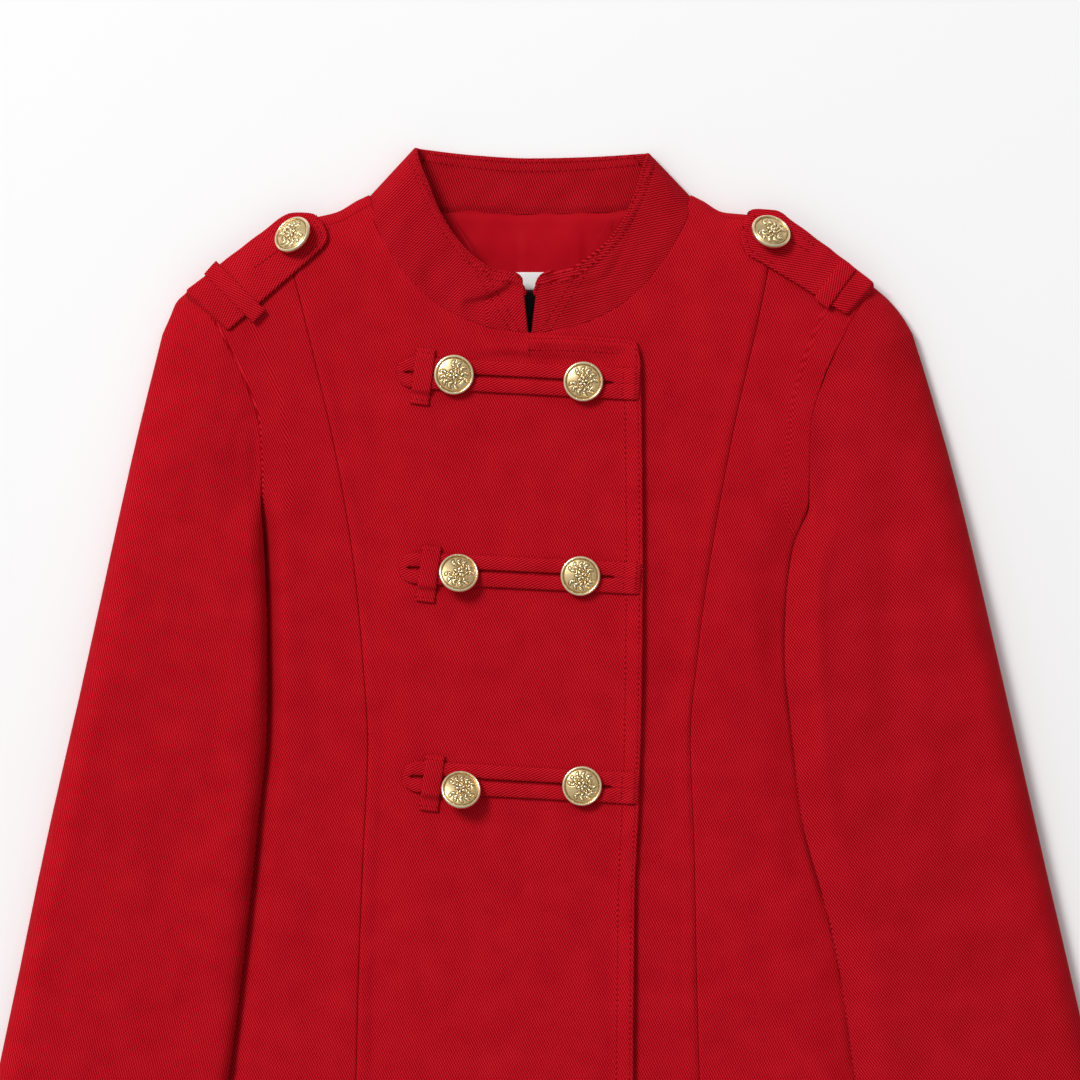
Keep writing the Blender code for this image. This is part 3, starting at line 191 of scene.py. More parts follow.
# Fineness of the nets
CELL = 0.0022
COLLAR_CELL = 0.0011
FACING_CELL = 0.0018
LINING_CELL, LABEL_CELL = 0.0020, 0.0015
STRAP_CELL = 0.0012
BACK_TIMES, WRAP_TIMES, UNDER_TIMES = 6, 3, 4  # parts that an interval is cut into, on panels that hardly show
EDGE_SPOTS = [0.0005, 0.0010, 0.0016, 0.0024, 0.0034]  # extra points beside an edge or a seam
EDGE_ROUND = 0.0016  # the width over which an edge of folded cloth rounds off
RIM = 0.06  # of the thickness, what is left at the edge
SEAM = 0.45  # how much an edge rounds off at a seam
GENTLE = 1.15  # up to this stretch, a slope counts as flat

# Creases: the places that one passes, as x and down, its half width, and its height, in millimetres
SLEEVE_CREASES = {
    -1: [([(-150, 112), (-150.5, 135), (-149, 168)], 4.0, -0.9),
         ([(-163, 215), (-161, 290), (-166, 385), (-182, 480)], 9.0, 0.9),
         ([(-196, 95), (-206, 160), (-214, 230)], 12.0, -0.7),
         ([(-188, 300), (-197, 390), (-214, 500)], 12.0, -0.6)],
    1: [([(154, 122), (156, 200), (159, 300), (168, 385)], 5.0, 1.2),
        ([(203, 92), (206, 132), (196, 198), (197, 264), (200, 308), (193, 390)], 11.0, -1.2),
        ([(188, 400), (200, 490), (214, 580)], 10.0, 1.0),
        ([(230, 240), (240, 330), (252, 440)], 14.0, -0.6)],
}
FRONT_CREASES = {
    -1: [([(-134, 130), (-133, 250), (-131, 390)], 7.0, 1.0),
         ([(-118, 220), (-112, 330), (-116, 450)], 11.0, -0.9),
         ([(-18, 214), (0, 245), (18, 276)], 5.0, -0.7),
         ([(-36, 136), (-8, 152), (24, 180)], 7.0, -0.7),
         ([(-26, 402), (0, 380), (14, 352)], 8.0, -0.6),
         ([(-30, 82.5), (0, 83.2), (48, 84.0)], 3.2, 1.0)],
    1: [([(128, 150), (126, 230), (128, 320), (140, 420)], 9.0, -0.5),
        ([(110, 190), (104, 280), (108, 400)], 8.0, 0.5),
        ([(73, 110), (76, 250), (72, 400)], 6.0, -0.6)],
}
COLLAR_CREASES = [
    ([(-34, 50), (-18, 47.5), (-9, 41.5)], 3.0, 0.8),
    ([(11, 49), (26, 48.5), (40, 44.6), (47, 36), (54, 22), (59, 8)], 2.6, -0.9),
    ([(-60, 34), (-50, 47), (-38, 56)], 5.0, -0.9),
    ([(-48, 60), (-30, 66), (-12, 70)], 3.0, 0.4),
]
# Folds: as creases, with a steep side to the left of the way and a gentle one to its right
COLLAR_FOLDS = [([(-38, 57.5), (-24, 54.6), (-15, 50.5), (-8.5, 45.6)], 1.0, 5.0, -3.0)]
FRONT_FOLDS = [([(-34, 87.6), (-20, 86.6), (-11, 86.0), (3, 87.9), (28, 88.8), (50, 88.6)], 2.6, 3.0, -2.0)]

# Sewing
STITCH = 0.0031
STITCH_RADIUS = 0.00024
HOLE_RADIUS, HOLE_HALF = 0.00048, 0.00062
STITCH_END = 0.14  # of the way between two holes, what the thread leaves free at each end
COLLAR_ROWS = (0.0018, 0.0068)  # topstitching, from the edge of the collar
COLLAR_FRONT = 0.0042  # from the middle to the collar's front edges
FACING_EDGE = 0.0006  # how much further in the rows lie on its inner face
EDGE_ROWS = (0.0020, 0.0092)  # from the lapped front's edge
TOP_ROWS = (0.0019, 0.0084)  # from its top edge
HEM_ROW, CUFF_ROW = 0.022, 0.020
BUTTONHOLE_STITCH = 0.0011
EPAULETTE_STITCH_IN = 0.0030


# Curves and nets -------------------------------------------------------------------------------------------
def ease(t):
    """From 0 to 1, level at both ends."""
    t = np.clip(t, 0.0, 1.0)
    return t * t * (3.0 - 2.0 * t)


def dome(t):
    """From 0 to 1 on a quarter circle, steep at first."""
    t = np.clip(t, 0.0, 1.0)
    return np.sqrt(1.0 - (1.0 - t) ** 2)


def unit(ways):
    """The same ways, each with a length of 1."""
    return ways / np.linalg.norm(ways, axis=-1, keepdims=True)


def tangents(slope):
    """Slopes at the points between intervals with these slopes, level where the way turns."""
    before, after = slope[:-1], slope[1:]
    same_way = before * after > 0
    inner = np.where(same_way, 2 * before * after / np.where(same_way, before + after, 1.0), 0.0)
    return np.concatenate([slope[:1], inner, slope[-1:]])


def smooth_step(t, start, end, start_rise, end_rise):
    """From one value to the next as t goes from 0 to 1, with what it would rise at each end's slope."""
    return ((1 + 2 * t) * (1 - t) ** 2 * start + t * (1 - t) ** 2 * start_rise
            + t * t * (3 - 2 * t) * end + t * t * (t - 1) * end_rise)


def smooth(rows, at):
    """Value at `at` on a smooth curve through (position, value) rows, which doesn't overshoot."""
    x, y = np.array(rows, float).T
    at = np.clip(at, x[0], x[-1])
    step = np.diff(x)
    tangent = tangents(np.diff(y) / step)
    k = np.clip(np.searchsorted(x, at, side="right") - 1, 0, len(step) - 1)
    return smooth_step((at - x[k]) / step[k], y[k], y[k + 1], step[k] * tangent[k], step[k] * tangent[k + 1])


def spline(points, shares):
    """Points at these shares of the length of a smooth curve through the given points."""
    p = np.array(points, float)
    p = np.vstack([2 * p[0] - p[1], p, 2 * p[-1] - p[-2]])
    fine = []
    for a, b, c, d in zip(p, p[1:], p[2:], p[3:]):
        for t in np.linspace(0, 1, 16, endpoint=False):
            fine.append(0.5 * (2 * b + (c - a) * t + (2 * a - 5 * b + 4 * c - d) * t**2
                               + (3 * b - a - 3 * c + d) * t**3))
    fine = np.array(fine + [p[-2]])
    return points_along(fine, np.array(shares) * run_of(fine)[-1])


def flipped(points):
    """(x, y) points from (x, down) ones."""
    return [(x, -down) for x, down in points]


def mirrored(points, side):
    """The left side's points on either side."""
    return [(side * x, down) for x, down in points]


def at_downs(line, downs):
    """(x, y) points of an (x, down) line at these distances down."""
    x = smooth([(down, x) for x, down in line], np.array(downs))
    return np.column_stack([x, -np.array(downs)])


def stretched(downs, top, bottom):
    """The same rows, spread between another top and bottom."""
    share = (np.array(downs) - downs[0]) / (downs[-1] - downs[0])
    return top + share * (bottom - top)


def run_of(points):
    """How far each point of a line lies along it."""
    return np.concatenate([[0], np.cumsum(np.linalg.norm(np.diff(points, axis=0), axis=1))])


def points_along(line, spots):
    """A line's points at these distances along it."""
    return np.column_stack([np.interp(spots, run_of(line), column) for column in line.T])


def shares_of(points):
    """At which shares of a line's length its points lie."""
    return run_of(points) / run_of(points)[-1]


def net(left, right, shares, top=None, fade=3):
    """Rows of plan points from the left line to the right one. The first row follows the `top` line."""
    shares = np.broadcast_to(shares, (len(left), np.shape(shares)[-1]))[..., None]
    plan = (1 - shares) * left[:, None] + shares * right[:, None]
    if top is not None:
        plan = plan + ((1 - shares_of(left)) ** fade)[:, None, None] * (top - plan[0])
    return plan


def between(values, at):
    """Rows at fractional numbers, on smooth curves through the given rows, which don't overshoot."""
    tangent = tangents(np.diff(values, axis=0))
    k = np.clip(np.floor(at).astype(int), 0, len(values) - 2)
    t = (at - k).reshape(-1, *[1] * (values.ndim - 1))
    return smooth_step(t, values[k], values[k + 1], tangent[k], tangent[k + 1])


def spots_along(lengths, cell, close):
    """Fractional numbers along intervals of these lengths, a cell apart, closer beside the ends in `close`."""
    run = np.concatenate([[0.0], np.cumsum(lengths)])
    spots = np.linspace(0, run[-1], max(2, round(run[-1] / cell)) + 1)
    if close[0]:
        spots = np.concatenate([spots, EDGE_SPOTS])
    if close[1]:
        spots = np.concatenate([spots, run[-1] - np.array(EDGE_SPOTS)])
    spots = np.sort(spots[(spots >= 0) & (spots <= run[-1])])
    kept = [0.0] + [s for before, s in zip(spots, spots[1:]) if s - before > 0.00025 and s < run[-1] - 0.0004]
    return np.interp(kept + [run[-1]], run, range(len(run)))


def refined(plan, cell=CELL, close=(1, 1, 1, 1)):
    """A finer net through the same points. `close` is for its first row, last row, first and last column."""
    lengths = [np.linalg.norm(np.diff(plan, axis=axis), axis=-1).mean(1 - axis) for axis in (0, 1)]
    rows = between(plan, spots_along(lengths[0], cell, close[:2]))
    columns = between(np.swapaxes(rows, 0, 1), spots_along(lengths[1], cell, close[2:]))
    return np.swapaxes(columns, 0, 1)


def beside(line, x, y):
    """How far points lie to the left of a line of points, negative to its right, and how far along it."""
    start, way = line[:-1], np.diff(line, axis=0)
    length = np.linalg.norm(way, axis=1)
    run = np.concatenate([[0], np.cumsum(length)])
    flat_x, flat_y = (np.ravel(values) for values in np.broadcast_arrays(x, y))
    off_x, off_y = flat_x[:, None] - start[:, 0], flat_y[:, None] - start[:, 1]
    share = np.clip((off_x * way[:, 0] + off_y * way[:, 1]) / length**2, 0, 1)
    off_x, off_y = off_x - share * way[:, 0], off_y - share * way[:, 1]
    distance = off_x**2 + off_y**2
    nearest = distance.argmin(1)
    pick = np.arange(len(flat_x)), nearest
    turn = way[nearest, 0] * off_y[pick] - way[nearest, 1] * off_x[pick]
    away = np.where(turn >= 0, 1.0, -1.0) * np.sqrt(distance[pick])
    along = run[nearest] + share[pick] * length[nearest]
    return away.reshape(np.shape(x)), along.reshape(np.shape(x))


def ripple(x, y, length, seed):
    """A smooth uneven surface about 1 high and this far from one hump to the next."""
    numbers = np.random.RandomState(seed)
    height = 0 * x
    for _ in range(9):
        angle, phase = numbers.uniform(0, 2 * np.pi, 2)
        wave = 2 * np.pi / (length * numbers.uniform(0.7, 1.7))
        height = height + np.sin((x * np.cos(angle) + y * np.sin(angle)) * wave + phase)
    return height / 3.0


# Heights of the cloth --------------------------------------------------------------------------------------
SILHOUETTE = {
    side: np.vstack([flipped(SHOULDER[side]), flipped(CORNER[side][1:]), at_downs(
        OUTER_FOLD[side], np.linspace(CORNER[side][-1][1], OUTER_FOLD[side][-1][1], 12))[1:]])
    for side in (-1, 1)
}
PRINCESS_LINE = {side: at_downs(PRINCESS[side], np.linspace(PRINCESS[side][0][1], HEM, 40)) for side in (-1, 1)}
ARMHOLE_LINE = {side: at_downs(ARMHOLE[side], np.linspace(0.0473, 0.165, 16)) for side in (-1, 1)}


def inside_by(side, x, y):
    """How far points lie inside the outline of a side."""
    return -side * beside(SILHOUETTE[side], x, y)[0]


def rounded_off(side, x, y, loft):
    """The cloth's height, which falls round from its loft to the fold at the outline."""
    return FOLD_Z + (loft - FOLD_Z) * dome(inside_by(side, x, y) / smooth(ROUNDING, -y))


def by_side(function, x, y):
    """A side's function, on that side of the middle."""
    return np.where(x < 0, function(-1, x, y), function(1, x, y))


def inner_fold_x(side, down):
    """How far a sleeve's inner fold lies from the middle."""
    down = np.clip(down, 0.165, INNER_FOLD[side][-1][1])
    return np.abs(smooth([(d, x) for x, d in INNER_FOLD[side]], down))


def side_x(down):
    """How far the body's side lies from the middle."""
    return smooth([(d, x) for x, d in SIDE], down)


def fold_start(down):
    """From 0 at the armhole to 1 where a sleeve's inner fold is whole."""
    return ease((down - TUCK_START) / TUCK_LENGTH)


def front_on_side(side, x, y):
    """Height of the body's front, which is tucked in under the sleeves and rounded off at its sides."""
    down = -y
    height = rounded_off(side, x, y, smooth(LOFT, down))
    past = np.abs(x) - inner_fold_x(side, down)
    early = TUCK_SHARE[side]
    tucked = early * ease((past - TUCK_OUT + TUCK_WIDTH[side]) / TUCK_WIDTH[side])
    tucked = (tucked + (1 - early) * ease(past / TUCK_REST)) * fold_start(down)
    height = height + (SIDE_LOFT - height) * tucked
    at_side = SIDE_Z + (height - SIDE_Z) * dome((side_x(down) - np.abs(x)) / SIDE_ROUND)
    return np.where(down >= UNDERARM - 1e-6, at_side, height)


def lap(x):
    """How much higher the right front lies where it laps over the left one."""
    return LAP * ease((x - LAP_START) / LAP_RISE)


def body_below(x, y):
    """What a sleeve rests on: the body's side, and nothing beyond it."""
    to_side = side_x(np.clip(-y, UNDERARM, HEM)) - np.abs(x)
    return (SIDE_LOFT + SLEEVE_REST) * ease((to_side + STEP_WIDTH) / (STEP_WIDTH - STEP_CLEAR))


def from_inner(side, x, y):
    """How far points of a sleeve lie from the armhole's seam and the inner fold."""
    line = [(down, abs(at)) for at, down in ARMHOLE[side] + INNER_FOLD[side][1:]]
    return np.abs(x) - smooth(line, -y)


def sleeve_top_height(side, x, y):
    """The body's height at the armhole, the sleeve's own beyond it, and rolled in at its folds."""
    down = -y
    inward = from_inner(side, x, y)
    own = np.maximum(ease(inward / SLEEVE_FILLS), fold_start(down))
    loft = smooth(LOFT, down) + (smooth(SLEEVE_LOFT, down) - smooth(LOFT, down)) * own
    height = rounded_off(side, x, y, loft)
    edge = body_below(x, y) + SLEEVE_EDGE
    roll = dome(inward / INNER_ROUND)
    if side > 0:
        edge, roll = edge + LEVEL_RISE, (1 - LEVEL_SHARE) * roll + LEVEL_SHARE * ease(inward / LEVEL_ROLL)
    rolled = edge + (height - edge) * roll
    return height + (rolled - height) * fold_start(down)


def sleeve_under_height(side, x, y):
    """On the floor, up over the body's side, and rounded up at its folds."""
    down = -y
    low = body_below(x, y) * ease((down - CLIMB_START) / CLIMB_LENGTH)
    outer = FOLD_Z * (1 - dome(inside_by(side, x, y) / FOLD_Z))
    inner = SLEEVE_EDGE * (1 - dome(from_inner(side, x, y) / SLEEVE_EDGE)) * (down > UNDERARM + 0.002)
    return low + outer + inner


def back_height(x, y):
    """On the floor, and rounded up at the sides."""
    down = -y
    rise = SIDE_Z * (1 - dome((side_x(down) - np.abs(x)) / SIDE_Z))
    return rise * ease((down - UNDERARM + 0.008) / 0.025)


def epaulette_height(side, x, y):
    """What a strap's lower face rests on: the shoulder, and its round edge moved out a little."""
    width = smooth(ROUNDING, -y) + EPAULETTE_REACH
    rise = (smooth(LOFT, -y) - FOLD_Z) * dome((inside_by(side, x, y) + EPAULETTE_REACH) / width)
    return LAY_GAP + 0.0003 + FOLD_Z + rise


# Relief ----------------------------------------------------------------------------------------------------
def beside_crease(points, count, power, x, y):
    """How far points lie beside a crease, and how deep it still is there, from 1 to 0 at its ends."""
    line = spline(np.array(flipped(points)) / 1000, np.linspace(0, 1, count))
    away, along = beside(line, x, y)
    return away, np.sin(np.pi * np.clip(along / run_of(line)[-1], 0, 1)) ** power


def creases(rows, x, y):
    """Soft troughs and ridges that fade out towards their ends."""
    height = 0 * x
    for points, half, rise in rows:
        away, taper = beside_crease(points, 14, 0.6, x, y)
        height = height + rise / 1000 * taper * np.exp(-((away / (half / 1000)) ** 2))
    return height


def folds(rows, x, y):
    """Sharp creases, each with one steep side."""
    height = 0 * x
    for points, steep, gentle, rise in rows:
        away, taper = beside_crease(points, 20, 0.7, x, y)
        height = height + rise / 1000 * taper * np.exp(-((away * 1000 / np.where(away > 0, steep, gentle)) ** 2))
    return height


def seam_band(away, along, width=0.0075, rise=0.00052, seed=3):
    """The seam allowance's low band to the left of a seam, a little uneven along it."""
    uneven = 1 + 0.45 * ripple(along, away * 0.2, 0.016, seed)
    band = ease((away - 0.0006) / 0.0016) * ease((width - away) / 0.0020)
    pulled = np.exp(-((away / 0.0100) ** 2)) * ripple(along, away * 0.4, 0.011, seed + 1)
    return rise * band * uneven + 0.00010 * pulled


def groove(away, width=0.0011, depth=0.00022):
    """What a row of stitches draws in."""
    return -depth * np.exp(-((away / width) ** 2))


def front_relief(side, x, y):
    """The fronts' seam allowances, what their seams pull in, their creases and unevenness."""
    away, along = beside(PRINCESS_LINE[side], x, y)
    height = seam_band(-side * away, along, seed=5 + side)
    away, along = beside(ARMHOLE_LINE[side], x, y)
    height = height + 0.00012 * np.exp(-((away / 0.009) ** 2)) * ripple(along, 0 * along, 0.012, 31 + side)
    height = height + creases(FRONT_CREASES[side], x, y)
    fade = ease((inner_fold_x(side, np.maximum(-y, 0.165)) + 0.004 - np.abs(x)) / 0.010)
    return height * fade + 0.00028 * ripple(x, y, 0.034, 12) + 0.00009 * ripple(x, y, 0.012, 14)


def flap_relief(x, y):
    """The stitched edges of the right front where it laps over the left one."""
    edge = at_downs(FRONT_EDGE, np.linspace(0.0885, HEM, 30))
    away, along = beside(edge, x, y)
    inward = -away
    height = sum(groove(inward - row) for row in EDGE_ROWS) + folds(FRONT_FOLDS, x, y)
    height = height + 0.00020 * ease((0.0115 - inward) / 0.002) * (1 + 0.6 * ripple(along, inward, 0.009, 40))
    height = height + FLAP_LIFT * ease((0.013 - inward) / 0.013) * (1 + 0.25 * ripple(along, inward, 0.060, 41))
    top = np.vstack([[(-0.004, -0.0738)], flipped(FLAP_TOP), [(0.0585, -0.0775)]])
    away, along = beside(top, x, y)
    inward = -away
    in_flap = ease((x + 0.006) / 0.012)
    rows = sum(groove(inward - row, depth=0.0003) for row in TOP_ROWS)
    roll = 0.0013 * np.exp(-(((inward - 0.0040) / 0.0026) ** 2)) - 0.0006 * ease((0.0020 - inward) / 0.0020)
    return height + in_flap * (rows + roll + 0.00022 * ease((0.0105 - inward) / 0.002)
                               * (1 + 0.7 * ripple(along, inward, 0.008, 44)))


def centre_height(side):
    """The height function of a centre front."""
    def height(x, y):
        base = by_side(front_on_side, x, y) + by_side(front_relief, x, y)
        return base + lap(x) + flap_relief(x, y) if side < 0 else base
    return height


def sleeve_relief(side, x, y):
    """What the armhole's seam pulls in, the sleeve's head, its creases and unevenness."""
    away, along = beside(ARMHOLE_LINE[side], x, y)
    pulled = np.exp(-((away / 0.012) ** 2)) * ripple(along, away, 0.010, 51 + side)
    height = 0.00020 * pulled + 1.4 * creases(SLEEVE_CREASES[side], x, y)
    head = np.exp(-(((-side * away - 0.0032) / 0.0030) ** 2)) * ease((0.080 + y) / 0.015)
    height = height + 0.0011 * head
    fade = ease(inside_by(side, x, y) / 0.012) * np.maximum(ease(from_inner(side, x, y) / 0.005), 1 - fold_start(-y))
    return (height + 0.00055 * ripple(x, y, 0.045, 21 + side) + 0.00014 * ripple(x, y, 0.014, 23)) * fade


# Meshes ----------------------------------------------------------------------------------------------------
def outward_of(points, facing=1):
    """Which way a net's outer face looks: up, or down where facing is -1."""
    across = np.cross(np.gradient(points, axis=0), np.gradient(points, axis=1))
    across /= np.maximum(np.linalg.norm(across, axis=-1, keepdims=True), 1e-12)
    return across * (facing * np.sign(across[..., 2].sum()))


def xy(plan):
    return plan[..., 0], plan[..., 1]


def raised(plan, height):
    """A net in plan, with heights."""
    return np.concatenate([plan, height[..., None]], axis=-1)


def laid(plan, height, facing=1):
    """A net at the heights that a function gives, and the way that its outer face looks."""
    points = raised(plan, height(*xy(plan)))
    return points, outward_of(points, facing)


def level_at(points, outward, edge, beside_it, weight=1.0):
    """Turns the outward direction at a fold's edge level."""
    way = points[edge] - points[beside_it]
    way[..., 2] = 0
    outward[edge] = unit(outward[edge] + (unit(way) - outward[edge]) * np.reshape(weight, np.shape(weight) + (1,)))


def level_at_silhouette(side, points, outward):
    """Turns a sleeve's outward directions level along its outer fold and its corner."""
    step = 0.002
    for edge in (np.s_[:, 0], np.s_[0, :]):
        x, y = xy(points[edge])
        outward[edge] = unit(np.stack([inside_by(side, x - step, y) - inside_by(side, x + step, y),
                                       inside_by(side, x, y - step) - inside_by(side, x, y + step), 0 * x], axis=-1))


def flattened(points):
    """Where a net's points would lie in the flat cloth: in plan, moved out by what steep slopes add."""
    flat = points[..., :2].copy()
    for axis in (0, 1):
        step = np.diff(points, axis=axis)
        plan = np.linalg.norm(step[..., :2], axis=-1, keepdims=True)
        stretch = np.linalg.norm(step, axis=-1, keepdims=True) / np.maximum(plan, 1e-7)
        extra = step[..., :2] * np.maximum(stretch - GENTLE, 0)
        start = np.zeros_like(np.take(extra, [0], axis=axis))
        run = np.concatenate([start, np.cumsum(extra, axis=axis)], axis=axis)
        flat += run - np.take(run, [run.shape[axis] // 2], axis=axis)
    return flat


def edge_shares(points, rounded):
    """The share of its thickness that a net's cloth has at each point, less at edges that are rounded. How
    much each edge is, from 0 to 1, is given for the first row, last row, first column and last column."""
    share = np.ones(points.shape[:2])
    for axis, (first, last) in enumerate((rounded[:2], rounded[2:])):
        length = np.linalg.norm(np.diff(points, axis=axis), axis=-1)
        run = np.cumsum(np.insert(length, 0, 0, axis=axis), axis=axis)
        for amount, inward in ((first, run), (last, np.take(run, [-1], axis=axis) - run)):
            share = np.minimum(share, 1 - amount * (1 - RIM) * (1 - dome(inward / EDGE_ROUND)))
    return share


def area_of(points):
    """The area of a net's cells."""
    sides = points[1:, :-1] - points[:-1, :-1], points[:-1, 1:] - points[:-1, :-1]
    return float(np.linalg.norm(np.cross(*sides), axis=-1).sum())


PIECES = {}
TREES = {}


def add_piece(name, mesh, finish, replaced=()):
    """Puts a mesh in the scene as a piece, which may stand for solids."""
    made = bpy.data.objects.new(name, mesh)
    bpy.context.scene.collection.objects.link(made)
    made.location = PLACE
    mesh.materials.append(finish)
    mesh.shade_smooth()
    PIECES[name] = made
    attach(made, "root")
    if replaced:
        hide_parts(*replaced)
    return made


def wall(name, nets, thickness, finish, sheet=None):
    """A cloth wall whose outer face is one or more nets, which share points where they meet. Each net is
    its points, its outward directions and its rounded edges. `sheet` is what the cloth rests on; it is not used."""
    places, inner, grain, faces, start = [], [], [], [], 0
    for points, outward, rounded in nets:
        share = edge_shares(points, rounded)[..., None]
        middle = points - outward * thickness / 2
        places.append((middle + outward * thickness / 2 * share).reshape(-1, 3))
        inner.append((middle - outward * thickness / 2 * share).reshape(-1, 3))
        grain.append(flattened(points).reshape(-1, 2))
        ids = start + np.arange(points.shape[0] * points.shape[1]).reshape(points.shape[:2])
        start += ids.size
        turn = np.cross(points[1:, :-1] - points[:-1, :-1], points[:-1, 1:] - points[:-1, :-1])
        quads = np.stack([ids[:-1, :-1], ids[1:, :-1], ids[1:, 1:], ids[:-1, 1:]], axis=-1).reshape(-1, 4)
        faces.append(quads if (turn * outward[:-1, :-1]).sum() > 0 else quads[:, ::-1])
    places, inner, grain, faces = (np.vstack(parts) for parts in (places, inner, grain, faces))
    _, first, number = np.unique(np.round(places, 6), axis=0, return_index=True, return_inverse=True)
    places, inner, grain = places[first], inner[first], grain[first]
    faces = number.ravel()[faces]
    count = len(places)
    edges = np.stack([faces, np.roll(faces, -1, axis=1)], axis=-1).reshape(-1, 2)
    edges = edges[edges[:, 0] != edges[:, 1]]
    there, back = edges[:, 0] * count + edges[:, 1], edges[:, 1] * count + edges[:, 0]
    a, b = edges[~np.isin(back, there)].T
    rims = np.stack([b, a, a + count, b + count], axis=1)
    quads = np.vstack([faces, faces[:, ::-1] + count, rims]).tolist()
    quads = [[v for i, v in enumerate(face) if v != face[i - 1]] for face in quads]
    mesh = bpy.data.meshes.new(f"{name}_cloth")
    mesh.from_pydata(np.vstack([places, inner]).tolist(), [], [face for face in quads if len(face) > 2])
    cloth = mesh.uv_layers.new(name="cloth")
    corners = np.zeros(len(mesh.loops), int)
    mesh.loops.foreach_get("vertex_index", corners)
    cloth.data.foreach_set("uv", np.vstack([grain, grain])[corners].astype(np.float32).ravel())
    made = add_piece(f"{name}_cloth", mesh, finish, [name])
    if sheet is not None:
        spans = [max(run_of(line)[-1] for line in lines) for lines in (nets[0][0], np.swapaxes(nets[0][0], 0, 1))]
        area = sum(area_of(points) for points, *_ in nets)
        flat = [round(max(span, 0.010), 3) for span in spans]
        if area > flat[0] * flat[1]:
            flat[1] = round(area / flat[0] + 0.001, 3)
    return made


def tree_of(name):
    """A piece's faces, for rays."""
    if name not in TREES:
        mesh = PIECES[f"{name}_cloth"].data
        TREES[name] = BVHTree.FromPolygons([v.co for v in mesh.vertices], [f.vertices for f in mesh.polygons])
    return TREES[name]


def surface(names, plan):
    """The topmost points of these pieces at plan points, and which way the cloth looks there."""
    flat = np.reshape(plan, (-1, 2))
    places, ways = np.zeros((len(flat), 3)), np.tile([0.0, 0.0, 1.0], (len(flat), 1))
    for i, (x, y) in enumerate(flat):
        hits = [tree_of(name).ray_cast(Vector((x, y, 1.0)), Vector((0, 0, -1))) for name in names]
        hits = [hit for hit in hits if hit[0] is not None]
        if hits:
            top = max(hits, key=lambda hit: hit[0].z)
            places[i], ways[i] = top[0], top[1]
        else:
            places[i] = x, y, np.nan
    return places.reshape(np.shape(plan)[:-1] + (3,)), ways.reshape(np.shape(plan)[:-1] + (3,))


def draw_in(points, edge, beside_it, by):
    """Moves a net's edge inward by this much."""
    way = points[beside_it] - points[edge]
    points[edge] += way * (by / np.linalg.norm(way, axis=-1, keepdims=True))


# Materials -------------------------------------------------------------------------------------------------
class Nodes:
    """Short ways to add nodes to one material."""

    def __init__(self, name):
        self.material = bpy.data.materials.new(name)
        self.material.use_nodes = True
        self.tree = self.material.node_tree
        self.shader = self.tree.nodes["Principled BSDF"]

    def set(self, **values):
        for name, value in values.items():
            self.shader.inputs[name.replace("_", " ")].default_value = value

    def node(self, kind, inputs=(), **settings):
        made = self.tree.nodes.new(kind)
        for name, value in settings.items():
            setattr(made, name, value)
        for socket, value in dict(inputs).items():
            if isinstance(value, bpy.types.NodeSocket):
                self.tree.links.new(value, made.inputs[socket])
            else:
                made.inputs[socket].default_value = value
        return made.outputs

    def math(self, operation, a, b=0.0, c=0.0):
        return self.node("ShaderNodeMath", {0: a, 1: b, 2: c}, operation=operation)[0]

    def noise(self, at, scale, detail=2.0):
        return self.node("ShaderNodeTexNoise", {"Vector": at, "Scale": scale, "Detail": detail})["Fac"]

    def mix(self, share, a, b):
        return self.node("ShaderNodeMix", {"Factor": share, 6: a, 7: b}, data_type="RGBA")[2]

    def link(self, value, socket):
        self.tree.links.new(value, self.shader.inputs[socket])


TWILL_PITCH, YARN_PITCH = 0.00125, 0.0017
# Dark is painted shade in the twill's grooves, then the main red, and bright is painted light on its raised yarns; the
# same range also carries the cloth's uneven tone
TWILL_COLOURS = [(0.225, 0.0006, 0.0030), (0.415, 0.0022, 0.0082), (0.600, 0.0140, 0.0250)]  # dark to bright


